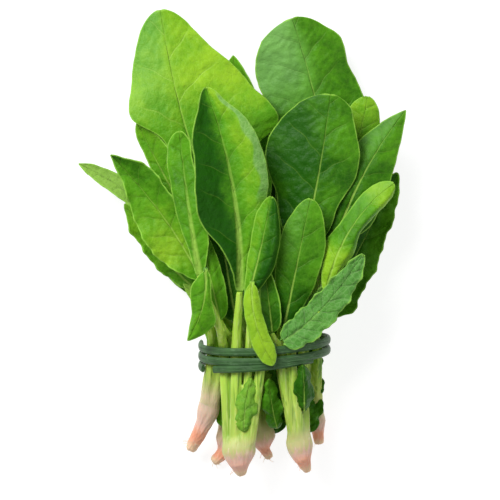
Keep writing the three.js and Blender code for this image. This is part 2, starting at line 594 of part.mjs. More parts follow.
// A flat strand along points, lying flat against the axis of the bunch.
function strandSkin(points, width = STRAND_WIDTH, thick = STRAND_THICK) {
  const rings = points.map((point, k) => {
    const [before, after] = [points[Math.max(k - 1, 0)], points[Math.min(k + 1, points.length - 1)]];
    const along = after.clone().sub(before).normalize();
    const upright = (point.z - TIE.z) * (TIE_HALF_WIDTH / TIE_HALF_HEIGHT) ** 2;
    const out = new THREE.Vector3(point.x - TIE.x, 0, upright);
    out.addScaledVector(along, -out.dot(along)).normalize();
    const side = new THREE.Vector3().crossVectors(along, out);
    return Array.from({ length: STRAND_SIDES }, (_, n) => {
      const angle = (2 * Math.PI * (n + 0.5)) / STRAND_SIDES;
      return point
        .clone()
        .addScaledVector(side, (width / 2) * Math.cos(angle))
        .addScaledVector(out, (thick / 2) * Math.sin(angle));
    });
  });
  return skin(rings.map((ring) => ring.reverse()));
}

function makeTie() {
  const [first, last] = [1.06 * Math.PI, -3.1 * Math.PI];
  const steps = 61;
  const winding = Array.from({ length: steps + 1 }, (_, k) =>
    strandPoint(first + ((last - first) * k) / steps),
  );
  const knotAngle = 0.468 * Math.PI;
  const knotMiddle = strandPoint(knotAngle).add(strandPoint(knotAngle - 2 * Math.PI)).multiplyScalar(0.5);
  const loop = Array.from({ length: 13 }, (_, k) => {
    const angle = 0.21 + (2 * Math.PI * k) / 13;
    const [x, y, z] = [0.4 + 1.3 * Math.sin(angle), 0.1 + 6.9 * Math.cos(angle), 2.7 * Math.sin(angle)];
    return knotMiddle.clone().add(new THREE.Vector3(x, y, z));
  });
  const loopRings = loop.map((point, k) => {
    const [before, after] = [loop[(k + loop.length - 1) % loop.length], loop[(k + 1) % loop.length]];
    const along = after.clone().sub(before).normalize();
    const side = new THREE.Vector3(1, 0, 0);
    const out = new THREE.Vector3().crossVectors(side, along).normalize();
    return Array.from({ length: 6 }, (_, n) => {
      const turn = (2 * Math.PI * n) / 6;
      return point
        .clone()
        .addScaledVector(side, 2.1 * Math.cos(turn))
        .addScaledVector(out, 0.85 * Math.sin(turn));
    });
  });
  const count = loopRings.length;
  const positions = loopRings.flat().flatMap((p) => [p.x, p.y, p.z]);
  const index = [];
  for (let i = 0; i < count; i++) {
    for (let j = 0; j < 6; j++) {
      const [a, b] = [i * 6 + j, i * 6 + ((j + 1) % 6)];
      const [c, d] = [((i + 1) % count) * 6 + ((j + 1) % 6), ((i + 1) % count) * 6 + j];
      index.push(a, c, b, a, d, c);
    }
  }
  const loopGeometry = new THREE.BufferGeometry();
  loopGeometry.setAttribute("position", new THREE.Float32BufferAttribute(positions, 3));
  loopGeometry.setIndex(index);
  return fuse([strandSkin(winding), loopGeometry]);
}

// Build the bunch

const bunch = new THREE.Group();

function addPiece(name, geometry, colour, roughness) {
  geometry.computeVertexNormals();
  const look = { color: colour, roughness, metalness: 0, flatShading: true };
  const material = new THREE.MeshStandardMaterial(look);
  const mesh = new THREE.Mesh(geometry, material);
  mesh.name = name;
  bunch.add(mesh);
}

function addBlade(leaf, blade) {
  const tone = Object.keys(LEAF_TONES).find((each) => LEAF_TONES[each].includes(leaf.name)) ?? "dark";
  addPiece("leaf_" + leaf.name, bladeSkin(blade.rows, blade.neck), LEAF_COLOURS[tone], 0.45);
}

const collars = Object.fromEntries(
  Object.entries(PLANTS).map(([name, plant]) => [
    name,
    collarOf(plant, LEAVES.filter((leaf) => leaf.plant === name)),
  ]),
);
const stalks = Object.fromEntries(Object.keys(PLANTS).map((name) => [name, []]));
const tie = makeTie();

for (const leaf of LEAVES) {
  const collar = collars[leaf.plant];
  if (leaf.back) {
    // This blade hangs back over its own stalk, so the stalk is laid here and the blade later.
    const end = spot(leaf.base, leaf.rise[0] - stalkRadius(leaf) * 2 - CLEAR);
    const stalk = layStalk(leaf, collar, end, new THREE.Vector3(0, 1, 0));
    stalks[leaf.plant].push(stalk);
    layOnPile(stalk);
    continue;
  }
  const blade = layBlade(leaf);
  const end = blade.start.clone();
  end.z -= blade.neck * RIB_DEPTH;
  const stalk = layStalk(leaf, collar, end, blade.heading);
  stalks[leaf.plant].push(stalk);
  addBlade(leaf, blade);
  layOnPile(stalk);
  layOnPile(bladeSkin(blade.rows, blade.neck));
}

layOnPile(tie);
for (const leaf of [...LEAVES.filter((each) => each.back), ...INNER_LEAVES]) {
  const blade = layBlade(leaf);
  addBlade(leaf, blade);
  layOnPile(bladeSkin(blade.rows, blade.neck));
}

for (const [name, plant] of Object.entries(PLANTS)) {
  const foot = footSkin(plant, collars[name]);
  addPiece("stalks_" + name, fuse([foot, ...stalks[name]]), STALK_COLOUR, 0.5);
  addPiece("root_" + name, crownSkin(plant, collars[name]), CROWN_COLOUR, 0.6);
}
addPiece("tie", tie, TIE_COLOUR, 0.5);

// The origin is under the middle of the bunch, on the surface that it lies on.
const box = new THREE.Box3().setFromObject(bunch);
const middle = box.getCenter(new THREE.Vector3());
bunch.position.set(-middle.x, -middle.y, -box.min.z);

export default bunch;
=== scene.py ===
"""A tied bunch of fresh spinach, lying down on a pale table and seen from above.

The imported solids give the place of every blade, stalk, root and turn of the tie. This script dresses
them: veined and quilted blades, ribbed stalks, wrinkled roots with rootlets, and a ridged strand.
"""

import math

import bmesh
import bpy
import numpy as np
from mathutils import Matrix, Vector


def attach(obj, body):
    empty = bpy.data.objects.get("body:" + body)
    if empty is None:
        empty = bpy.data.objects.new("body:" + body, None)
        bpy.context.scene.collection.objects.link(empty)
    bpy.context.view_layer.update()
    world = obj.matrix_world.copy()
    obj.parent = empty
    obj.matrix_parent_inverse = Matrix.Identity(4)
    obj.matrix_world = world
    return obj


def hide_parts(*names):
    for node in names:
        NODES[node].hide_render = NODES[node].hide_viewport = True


bl_info = {
    "name": "Spinach bunch",
    "version": (1, 0, 0),
    "blender": (4, 5, 0),
    "location": "3D View > Sidebar > Spinach",
    "description": "Builds a tied bunch of fresh spinach with its stage",
    "category": "Object",
}

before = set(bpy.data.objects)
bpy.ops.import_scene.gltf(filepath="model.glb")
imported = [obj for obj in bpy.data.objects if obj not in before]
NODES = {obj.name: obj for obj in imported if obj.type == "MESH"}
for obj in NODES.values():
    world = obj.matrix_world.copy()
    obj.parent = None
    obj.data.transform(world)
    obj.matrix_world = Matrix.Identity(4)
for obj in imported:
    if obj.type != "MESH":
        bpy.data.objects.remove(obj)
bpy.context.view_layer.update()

MM = 0.001
UNIT_MM = 0.64  # size of one unit of the leaf table, the same as in the solids
TABLE_CENTRE = np.array([242.0, 242.0])
COLUMNS = np.array([-1, -0.7, -0.36, 0, 0.36, 0.7, 1])  # the solids' lines along a blade
TIP_END = 0.993
BASE_REACH = 1.6  # how far a blade's midrib reaches into its stalk, in mm
VEIN_SPREAD = 1.8  # side veins stand this much further apart than the table's figures
SOLID_HALF = 0.4  # half the thickness of a solid blade, in mm

EDGE_SHARES = np.array([0.08, 0.2, 0.35, 0.5, 0.65, 0.8, 0.92])  # where left and right widths are given
BASE_ROUNDING = 0.6

# Every blade: where its midrib starts, bends and ends, and its outline, as in the solids: either the
# widths to the left and right of the midrib in table units, or its half widths in mm. Then its look:
# tone is 0 for dark and 1 for light, tipward and rightward change it along and across, bands gives it
# at shares of the midrib instead, quilt is the
# depth of the quilting in mm, vein the mm between side veins, ripple the height of the edge's waves in
# mm, rib the thickness of the midrib, bloom the strength of the pale sheen painted on as a
# highlight, under how matt and pale it is, and strip
# the margin that shows its underside: from what share across, and from and to what share along.
# Tone is partly painted shade and light. The blades that lie beneath the others get a low tone for the
# shade they lie in as well as for their own darker green. tall_fold and middle_cup are painted darker on
# their shaded halves and lighter on their lit ones. right_roll's bands paint a highlight on its rolled top.
BLADES = {
    # The under_ and far_ blades lie beneath the others: their low tone is painted shade as well as their own darker
    # green.
    "under_left": dict(
        base=(215, 285), bend=(185, 170), tip=(170, 42), half=(23, 25), shoulder=0.5, point=0.55,
        tone=0.2,
    ),
    "under_middle": dict(
        base=(262, 285), bend=(262, 180), tip=(262, 92), half=(22, 24), shoulder=0.5, point=0.5,
        tone=0.2,
    ),
    "under_right": dict(
        base=(312, 285), bend=(348, 215), tip=(382, 138), half=(17, 17), shoulder=0.45, point=0.7,
        tone=0.2,
    ),
    "far_right": dict(
        base=(298, 270), bend=(322, 160), tip=(322, 40), half=(24, 24), shoulder=0.5, point=0.5,
        tone=0.2,
    ),
    "far_left": dict(
        base=(205, 290), bend=(160, 235), tip=(133, 180), half=(14, 15), shoulder=0.4, point=0.75,
        tone=0.3,
    ),
    "middle_peak": dict(
        base=(245, 225), bend=(240, 140), tip=(233, 53), half=(22, 20), shoulder=0.5, point=0.8,
        tone=0.45, tipward=0.1, quilt=0.4,
    ),
    "pale_point": dict(
        base=(195, 262), bend=(150, 196), tip=(77, 163), left=(4, 7, 9, 10, 10, 9, 6),
        right=(4, 7, 9, 10, 10, 9, 6), taper=0.8, tone=0.95, under=0.7, quilt=0.2,
    ),
    "top_right": dict(
        base=(335, 195), bend=(318, 90), tip=(292, 17), left=(22, 38, 45, 45, 52, 49, 37),
        right=(24, 40, 48, 47, 41, 41, 25), taper=0.5, tone=0.24, tipward=0.1, quilt=1.0, vein=14,
        bloom=0.62,
    ),
    "right_light": dict(
        base=(338, 195), bend=(362, 140), tip=(368, 96), half=(15, 13), shoulder=0.45, point=0.5,
        tone=0.6, tipward=0.1,
    ),
    "left_frill": dict(
        base=(196, 290), bend=(160, 262), tip=(124, 203), left=(5, 8, 11, 12.5, 11, 11, 6),
        right=(5, 10, 14, 16, 15, 10, 6), taper=0.6, tone=0.5, tipward=0.06, ripple=2.2,
    ),
    "left_scrap": dict(
        base=(206, 308), bend=(196, 296), tip=(183, 284), half=(4, 4), shoulder=0.45, point=0.7, tone=0.9,
        under=0.5, quilt=0.2, vein=5,
    ),
    "left_sliver": dict(
        base=(182, 208), bend=(158, 165), tip=(137, 122), left=(5, 8, 8, 9, 8, 8, 6),
        right=(6, 13, 17, 18, 16, 12, 8), taper=0.6, tone=0.5, quilt=0.4, vein=8,
    ),
    "right_curl": dict(
        base=(318, 326), bend=(352, 268), tip=(398, 172), left=(6, 14, 18, 20, 20, 18, 10),
        right=(4, 23, 22, 24.5, 19.5, 17, 10), taper=0.6, tone=0.16, rightward=0.12, quilt=1.0, vein=10,
        ripple=2.0,
    ),
    # core_right lies beneath the others: its low tone is painted shade as well as its own darker green.
    "core_right": dict(
        base=(298, 326), bend=(318, 262), tip=(344, 205), half=(13, 12), shoulder=0.4, point=0.6,
        tone=0.25,
    ),
    "right_point": dict(
        base=(338, 232), bend=(362, 165), tip=(406, 110), half=(18, 19), shoulder=0.35, point=0.85,
        tone=0.24, tipward=0.06, quilt=0.8, vein=11, bloom=0.2,
    ),
    "top_left": dict(
        base=(203, 178), bend=(178, 118), tip=(160, 9), left=(12, 20, 26, 50, 43.5, 34, 23),
        right=(56, 88, 89, 76, 63, 41, 25), taper=0.5, rightward=0.05, quilt=0.7, vein=16,
        bloom=0.22,
        bands=((0, 0.35), (0.3, 0.46), (0.62, 0.78), (0.85, 0.7), (1, 0.55)),
    ),
    "middle_right": dict(
        base=(300, 262), bend=(322, 170), tip=(330, 95), left=(14, 28, 38, 53, 56, 46, 31),
        right=(10, 20, 25, 36, 37, 29, 23), taper=0.5, tone=0.16, rightward=0.1, quilt=1.0, vein=13,
        bloom=0.04, tipward=0.02,
    ),
    "left_point": dict(
        base=(200, 278), bend=(170, 215), tip=(111, 155), left=(12, 23, 29, 28, 22, 12, 6),
        right=(4, 8, 15, 18, 20, 20, 9), taper=0.8, rightward=-0.06, quilt=0.7, vein=9,
        ripple=1.6,
        bands=((0, 0.45), (0.3, 0.72), (0.55, 0.5), (0.75, 0.36), (1, 0.3)),
    ),
    "right_fold": dict(
        base=(299, 326), bend=(322, 300), tip=(362, 256), left=(10, 12, 12, 10, 9, 8, 6),
        right=(6, 9, 10, 9, 9, 8, 6), taper=0.6, tone=0.5, under=0.7, quilt=0.5, vein=6, ripple=1.8,
    ),
    # right_roll: its bands give the pale underside of the folded flag near the base. They also paint a highlight on the
    # rolled top as a lighter tone near the tip.
    "right_roll": dict(
        base=(326, 290), bend=(340, 222), tip=(393, 184), left=(6, 10, 15, 12, 12, 13, 10),
        right=(5, 9, 14, 10, 11, 11.5, 10), taper=0.5, quilt=0.5, bloom=0.15,
        bands=((0, 0.75), (0.3, 0.72), (0.42, 0.34), (0.7, 0.42), (0.86, 0.8), (1, 0.66)),
    ),
    # core_left lies beneath the others: its low tone is painted shade as well as its own darker green.
    "core_left": dict(
        base=(236, 320), bend=(222, 250), tip=(213, 160), half=(11, 14), shoulder=0.45, point=0.6,
        tone=0.15,
    ),
    "left_drop": dict(
        base=(206, 272), bend=(210, 305), tip=(188, 340), left=(3, 4, 6, 11, 17, 13, 6),
        right=(7, 13, 14.5, 12, 8.5, 6, 3), taper=0.8, tone=0.42, quilt=0.5, vein=8,
    ),
    "left_blade": dict(
        base=(220, 318), bend=(210, 274), tip=(199, 222), half=(7, 8), shoulder=0.45, point=0.7,
        tone=0.4, quilt=0.5, vein=8,
    ),
    "low_oval": dict(
        base=(284, 326), bend=(296, 268), tip=(310, 199), left=(5, 10.5, 18, 21, 22, 19, 12),
        right=(8, 14, 20.5, 23, 24.5, 20.5, 14), taper=0.5, quilt=0.5, vein=12, bloom=0.1,
        bands=((0, 0.08), (0.4, 0.26), (1, 0.42)),
    ),
    "low_slip": dict(
        base=(272, 331), bend=(270, 310), tip=(264, 264), half=(6, 7), shoulder=0.5, point=0.6, tone=0.2,
        quilt=0.3, vein=6,
    ),
    "left_curl": dict(
        base=(200, 274), bend=(188, 205), tip=(180, 132), left=(3, 6, 11, 14, 15, 16, 13),
        right=(7, 13, 15, 15, 12.5, 10, 10), taper=0.5, tone=0.38, rightward=0.0, quilt=0.5, vein=9,
        rib=3.0,
    ),
    # tall_fold: rightward paints its folded left half darker for the shade on it and its right half lighter where the
    # light falls. tipward darkens its base for the shade there.
    "tall_fold": dict(
        base=(240, 290), bend=(244, 190), tip=(206, 89), left=(5, 16, 36, 38, 33, 28, 14),
        right=(4, 9, 24, 35, 36, 29, 13), taper=0.55, tone=0.28, rightward=0.32, quilt=0.7, vein=12,
        rib=3.2, strip=(0.7, 0.4, 0.97), tipward=0.1,
    ),
    "hanging_tongue": dict(
        base=(252, 284), bend=(250, 324), tip=(273, 364), left=(5, 7, 8, 9, 9.5, 10, 8),
        right=(5, 8, 9, 9, 10, 10, 8), taper=0.6, tone=0.86, quilt=0.3, vein=8,
    ),
    # middle_cup: rightward paints its right half darker for the shade on the side that faces away from the light, and
    # its left half lighter where the light falls.
    "middle_cup": dict(
        base=(248, 296), bend=(262, 250), tip=(271, 197), left=(4, 7, 10, 11, 12, 12, 8),
        right=(6, 12, 17, 17.5, 16.5, 12, 8), taper=0.5, tone=0.3, rightward=-0.26, quilt=0.5, vein=8,
    ),
    "inner_front": dict(
        base=(244, 430), bend=(244, 404), tip=(251, 377), half=(6, 7), shoulder=0.5, point=0.6,
        tone=0.62, quilt=0.9, vein=8, ripple=4.0, edge=0.1, under=0.25, sink=5.0, crinkle=1.0, rib=0.4,
    ),
    "inner_middle": dict(
        base=(277, 428), bend=(270, 404), tip=(269, 378), half=(6, 6), shoulder=0.5, point=0.6,
        tone=0.24, quilt=0.9, vein=8, ripple=4.0, edge=0.1, sink=5.0, crinkle=1.0, rib=0.4,
    ),
    "inner_right": dict(
        base=(304, 408), bend=(304, 388), tip=(302, 364), half=(6, 6), shoulder=0.5, point=0.6,
        tone=0.15, quilt=0.9, vein=8, ripple=3.5, edge=0.1, sink=5.0, crinkle=0.9, rib=0.4,
    ),
}
# Crumpled young leaves deep between the stalks, which no solid stands for: half widths in mm, and the
# heights of base and tip above the table in mm.
CRUMPLES = {
    "left": dict(
        base=(240, 444), bend=(230, 380), tip=(226, 330), half=(13, 12), shoulder=0.3, point=0.3,
        level=(16, 27), tone=0.5, quilt=2.0, vein=4, ripple=4.0, edge=0.1, crinkle=1.0,
    ),
    "middle": dict(
        base=(268, 436), bend=(262, 380), tip=(268, 326), half=(15, 16), shoulder=0.3, point=0.3,
        level=(14, 28), tone=0.12, quilt=2.4, vein=4, ripple=4.0, edge=0.1, crinkle=1.0,
    ),
    "right": dict(
        base=(304, 434), bend=(304, 380), tip=(300, 324), half=(13, 13), shoulder=0.3, point=0.3,
        level=(14, 28), tone=0.2, quilt=2.0, vein=4, ripple=4.0, edge=0.1, crinkle=1.0,
    ),
    "frill": dict(
        base=(283, 340), bend=(322, 317), tip=(362, 254), half=(9, 11), shoulder=0.35, point=0.5,
        level=(58.2, 63.0), fold=0.7, tone=0.3, under=0.75, quilt=0.9, vein=5, ripple=3.0, crinkle=0.5,
    ),
    "shoulder": dict(
        base=(228, 352), bend=(220, 336), tip=(210, 318), half=(8, 8), shoulder=0.4, point=0.4,
        level=(36, 38), tone=0.7, quilt=1.2, vein=4, ripple=2.0, edge=0.1,
    ),
}
LOOK = dict(
    tipward=0.0, rightward=0.0, quilt=0.4, vein=9.0, ripple=0.5, rib=1.0, bloom=0.0, edge=1.0, under=0.0,
    strip=None, sink=0.0, crinkle=0.0, fold=2.2,
)

# Where each plant's stalks leave its crown, and where its tap root ends, in the leaf table's units.
PLANTS = {
    "rear_left": ((229, 437), (213, 464)),
    "rear_middle": ((262, 434), (270, 459)),
    "rear_right": ((317, 420), (320, 446)),
    "left": ((209, 407), (190, 451)),
    "right": ((299, 440), (308, 471)),
    "front": ((239, 446), (242, 474)),
}

# How salmon each tap root is, and how far up its stalks a crown's pink runs (0 none, 1 all)
WARMTH = {"rear_left": 1.0, "rear_middle": 0.8, "rear_right": 1.0, "left": 1.0, "right": 0.8, "front": 0.3}
PINKNESS = {"rear_left": 0.7, "rear_middle": 0.5, "rear_right": 0.9, "left": 1.0, "right": 0.3, "front": 0.15}

# The tie's ring, as in the solids
TIE_AT = (264.5, 348)
TIE_HALF_WIDTH = 41.2
TIE_HALF_HEIGHT = 26.6
TIE_RING_Z = 28.05
STRAND_PITCH = 6.4
STRAND_SLANT = 5.0
STRAND_SKEW = 3.6
STRAND_START = 1.06 * math.pi
STRAND_END = -3.1 * math.pi
KNOT_ANGLE = 0.468 * math.pi
TAIL_FROM = np.array([214.0, 369.0])  # ends of the cut end that lies below the turns, in table units
TAIL_TO = np.array([312.0, 359.0])


def flat_place(u, v):
    """Place on the table, in mm, of a point in the leaf table's units, before the shift."""
    return np.array([(u - TABLE_CENTRE[0]) * UNIT_MM, (TABLE_CENTRE[1] - v) * UNIT_MM])


# Values that a user may change


class SpinachBladeSettings(bpy.types.PropertyGroup):
    thickness: bpy.props.FloatProperty(
        name="Thickness", description="Thickness of a blade", default=0.5 * MM, unit="LENGTH"
    )
    cell: bpy.props.FloatProperty(
        name="Mesh cell", description="Side of a cell of a blade's mesh", default=1.0 * MM, unit="LENGTH"
    )
    groove: bpy.props.FloatProperty(
        name="Midrib groove", description="Depth of the channel over the midrib", default=0.55 * MM, unit="LENGTH"
    )
    # The dark green is also the colour that the blades' painted shade mixes towards.
    dark: bpy.props.FloatVectorProperty(
        name="Dark green", description="Colour of the darkest blades", default=(0.012, 0.085, 0.002),
        subtype="COLOR",
    )
    middle: bpy.props.FloatVectorProperty(
        name="Middle green", description="Colour of the middling blades", default=(0.085, 0.29, 0.008),
        subtype="COLOR",
    )
    light: bpy.props.FloatVectorProperty(
        name="Light green", description="Colour of the lightest blades", default=(0.29, 0.52, 0.022),
        subtype="COLOR",
    )
    vein: bpy.props.FloatVectorProperty(
        name="Veins", description="Colour of the midrib and the raised side veins", default=(0.36, 0.58, 0.09),
        subtype="COLOR",
    )
    # The rim colour is a painted highlight: the light that a blade's curled margin catches.
    edge: bpy.props.FloatVectorProperty(
        name="Rim", description="Colour of a blade's thin rim", default=(0.30, 0.58, 0.07), subtype="COLOR"
    )
    # Colour of the painted sheen: a pale highlight painted into the blades' colour.
    sheen: bpy.props.FloatVectorProperty(
        name="Sheen", description="Colour of the pale sheen on the dark blades", default=(0.22, 0.46, 0.13),
        subtype="COLOR",
    )
    under: bpy.props.FloatVectorProperty(
        name="Underside", description="Colour of the matt underside", default=(0.10, 0.29, 0.055),
        subtype="COLOR",
    )


class SpinachStalkSettings(bpy.types.PropertyGroup):
    cell: bpy.props.FloatProperty(
        name="Mesh cell", description="Side of a cell of a stalk's mesh", default=0.6 * MM, unit="LENGTH"
    )
    rounding: bpy.props.IntProperty(
        name="Rounding", description="Steps that round the stalks where they meet", default=6
    )
    # Its result also sets where the stalks get painted shade in their valleys.
    softening: bpy.props.IntProperty(
        name="Softening", description="Steps whose result shows which parts of a plant are hollow", default=34
    )
    blending: bpy.props.IntProperty(
        name="Blending", description="Steps that blend the stalks into the crown", default=170
    )
    swelling: bpy.props.FloatProperty(
        name="Swelling", description="How much fuller the stalks are than the solids", default=0.6 * MM,
        unit="LENGTH",
    )
    green: bpy.props.FloatVectorProperty(
        name="Upper colour", description="Colour of a stalk near its blade", default=(0.44, 0.68, 0.07),
        subtype="COLOR",
    )
    pale: bpy.props.FloatVectorProperty(
        name="Lower colour", description="Colour of a stalk near its crown", default=(0.46, 0.60, 0.10),
        subtype="COLOR",
    )
    flush: bpy.props.FloatVectorProperty(
        name="Flush", description="Colour of a stalk where it meets its crown", default=(0.68, 0.50, 0.37),
        subtype="COLOR",
    )


class SpinachRootSettings(bpy.types.PropertyGroup):
    rootlets: bpy.props.IntProperty(
        name="Rootlets", description="Thin side roots on each tap root", default=5
    )
    rootlet_length: bpy.props.FloatProperty(
        name="Rootlet length", description="Greatest length of a side root", default=4 * MM, unit="LENGTH"
    )
    pink: bpy.props.FloatVectorProperty(
        name="Crown", description="Colour of the crown", default=(0.74, 0.47, 0.38), subtype="COLOR"
    )
    salmon: bpy.props.FloatVectorProperty(
        name="Root", description="Colour of the tap root", default=(0.82, 0.36, 0.22), subtype="COLOR"
    )


class SpinachTieSettings(bpy.types.PropertyGroup):
    width: bpy.props.FloatProperty(
        name="Width", description="Width of the flat strand", default=5.2 * MM, unit="LENGTH"
    )
    thickness: bpy.props.FloatProperty(
        name="Thickness", description="Thickness of the strand", default=2.8 * MM, unit="LENGTH"
    )
    colour: bpy.props.FloatVectorProperty(
        name="Colour", description="Colour of the strand", default=(0.026, 0.075, 0.022), subtype="COLOR"
    )


class SpinachStageSettings(bpy.types.PropertyGroup):
    lens: bpy.props.FloatProperty(
        name="Lens", description="Focal length of the camera, in millimetres", default=240.0
    )
    view_width: bpy.props.FloatProperty(
        name="View width", description="Width of the view at the bunch", default=320 * MM, unit="LENGTH"
    )
    key: bpy.props.FloatProperty(name="Key light", description="Power of the key light", default=20.0, unit="POWER")
    fill: bpy.props.FloatProperty(name="Fill light", description="Power of the fill light", default=3.0, unit="POWER")
    sky: bpy.props.FloatProperty(name="Sky", description="Strength of the light from all round", default=0.26)


# Node trees


class Number:
    """A node's output that takes part in plain arithmetic."""

    def __init__(self, graph, socket):
        self.graph = graph
        self.socket = socket

    def _math(self, operation, *values):
        inputs = dict(enumerate(values))
        return self.graph.put("ShaderNodeMath", {"operation": operation}, inputs)

    def __add__(self, other):
        return self._math("ADD", self, other)

    def __radd__(self, other):
        return self._math("ADD", other, self)

    def __sub__(self, other):
        return self._math("SUBTRACT", self, other)

    def __rsub__(self, other):
        return self._math("SUBTRACT", other, self)

    def __mul__(self, other):
        return self._math("MULTIPLY", self, other)

    def __rmul__(self, other):
        return self._math("MULTIPLY", other, self)

    def __truediv__(self, other):
        return self._math("DIVIDE", self, other)

    def __pow__(self, other):
        return self._math("POWER", self, other)

    def __abs__(self):
        return self._math("ABSOLUTE", self)

    def fraction(self):
        return self._math("FRACT", self)

    def clamped(self):
        return self.graph.put("ShaderNodeClamp", {}, {0: self})

    def smooth(self, low, high):
        """0 at low, 1 at high, eased between them. low may be the larger."""
        return self.graph.put(
            "ShaderNodeMapRange", {"interpolation_type": "SMOOTHSTEP"}, {0: self, 1: low, 2: high, 3: 0.0, 4: 1.0}
        )


class Graph:
    """A node tree that is written one expression at a time."""

    def __init__(self, tree):
        self.tree = tree

    def put(self, kind, settings=None, inputs=None, output=0):
        node = self.tree.nodes.new(kind)
        for name, value in (settings or {}).items():
            if name == "stops":
                ramp = node.color_ramp
                while len(ramp.elements) < len(value):
                    ramp.elements.new(0.5)
                for element, (place, colour) in zip(ramp.elements, value):
                    element.position = place
                    element.color = (*colour, 1.0)
            else:
                setattr(node, name, value)
        for name, value in (inputs or {}).items():
            self.feed(node.inputs[name], value)
        return Number(self, node.outputs[output])

    def feed(self, socket, value):
        if isinstance(value, Number):
            self.tree.links.new(value.socket, socket)
        elif value is not None:
            socket.default_value = value

    def attribute(self, name, output="Fac"):
        return self.put("ShaderNodeAttribute", {"attribute_name": name}, {}, output)

    def mix(self, factor, a, b):
        def colour(value):
            return value if isinstance(value, Number) else (*value, 1.0)

        return self.put("ShaderNodeMix", {"data_type": "RGBA"}, {0: factor, 6: colour(a), 7: colour(b)}, 2)

    def noise(self, vector, scale, detail=3.0, roughness=0.55):
        return self.put(
            "ShaderNodeTexNoise",
            {},
            {"Vector": vector, "Scale": scale, "Detail": detail, "Roughness": roughness},
            "Fac",
        )

    def stretched(self, vector, scale):
        return self.put("ShaderNodeMapping", {}, {"Vector": vector, "Scale": scale})


def new_material(name, **shader):
    """A material with a Principled shader whose plain values are set, and the graph to finish it."""
    material = bpy.data.materials.new(name)
    material.use_nodes = True
    graph = Graph(material.node_tree)
    principled = material.node_tree.nodes["Principled BSDF"]
    for socket, value in shader.items():
        principled.inputs[socket.replace("_", " ")].default_value = value
    return material, graph, principled


def finish_material(graph, principled, colour, roughness, height, strength, distance):
    graph.feed(principled.inputs["Base Color"], colour)
    graph.feed(principled.inputs["Roughness"], roughness)
    bump = graph.put("ShaderNodeBump", {}, {"Strength": strength, "Distance": distance, "Height": height})
    graph.feed(principled.inputs["Normal"], bump)


def blade_material(settings):
    material, g, principled = new_material("Spinach blade", IOR=1.42, Specular_IOR_Level=0.12)
    place = g.put("ShaderNodeTexCoord", {}, {}, "Object")
    leaf = g.put("ShaderNodeUVMap", {"uv_map": "leaf"})
    tone, under, side = g.attribute("tone"), g.attribute("under"), g.attribute("side")
    phase, across, rim = g.attribute("phase"), g.attribute("across"), g.attribute("rim")
    bloom, share = g.attribute("bloom"), g.attribute("share")
    rim_line = rim.smooth(1.1, 0.3) * g.attribute("edge")

    patches = g.noise(place, 34.0, 4.0)
    grain = g.noise(place, 300.0, 4.0, 0.65)
    net = g.put(
        "ShaderNodeTexVoronoi", {"feature": "DISTANCE_TO_EDGE"}, {"Vector": leaf, "Scale": 3.1, "Randomness": 0.95},
        "Distance",
    )
    net_line = net.smooth(0.11, 0.0)

    beat = abs((phase + (patches - 0.5) * 0.08 + 0.5).fraction() - 0.5)
    side_vein = beat.smooth(0.030, 0.006) * side.smooth(1.0, 0.5)
    beside_vein = beat.smooth(0.16, 0.02) * side.smooth(1.0, 0.6)
    midrib = abs(across).smooth(0.16, 0.05)

    blotches = g.noise(place, 110.0, 4.0, 0.6)
    depth = (tone + (patches - 0.5) * 0.62 + (blotches - 0.5) * 0.36 + (grain - 0.5) * 0.22).clamped()
    deep = g.mix(depth.smooth(0.0, 0.5), tuple(settings.dark), tuple(settings.middle))
    flesh = g.mix(depth.smooth(0.42, 1.0), deep, tuple(settings.light))
    netted = g.mix(net_line * tone * 0.14, flesh, tuple(settings.vein))
    vein_light = tone.smooth(0.42, 0.72)
    # Painted shade: on the darker blades, the flesh beside the side veins and the veins' grooves are darkened for the
    # shade in the quilting.
    shaded = g.mix(beside_vein * (1.0 - vein_light) * 0.18, netted, tuple(settings.dark))
    sunk = g.mix(side_vein * (1.0 - vein_light) * 0.14, shaded, tuple(settings.dark))
    raised = g.mix(side_vein * (0.10 + vein_light * 0.25), sunk, tuple(settings.vein))
    rib_fade = share.smooth(0.95, 0.1)
    ribbed = g.mix(midrib * (0.10 + rib_fade * 0.55), raised, tuple(settings.vein))
    # Painted sheen: a pale highlight mixed into the colour where a blade faces the key light.
    sheen_painted = g.mix((bloom * (0.45 + patches)).clamped(), ribbed, tuple(settings.sheen))
    # Painted highlight: a thin pale line along the rim, where the curled margin catches the light.
    rimmed = g.mix(rim_line * (0.15 + blotches), sheen_painted, tuple(settings.edge))
    matt = g.mix(side_vein * 0.4 + net_line * 0.22, tuple(settings.under), (0.36, 0.56, 0.24))
    matt_toned = g.mix(depth.smooth(0.3, 1.1) * 0.6, matt, (0.36, 0.58, 0.12))
    # The underside's rim gets the same painted highlight.
    matt_rimmed = g.mix(rim_line * 0.5, matt_toned, tuple(settings.edge))
    colour = g.mix(under, rimmed, matt_rimmed)

    roughness = 0.40 + under * 0.2 + (grain - 0.5) * 0.2
    height = net * 0.3 - side_vein * 0.2 - beside_vein * 0.3 + grain * 0.7 + blotches * 1.4 - midrib * 0.4
    finish_material(g, principled, colour, roughness, height, 0.8, 1.0 * MM)
    return material


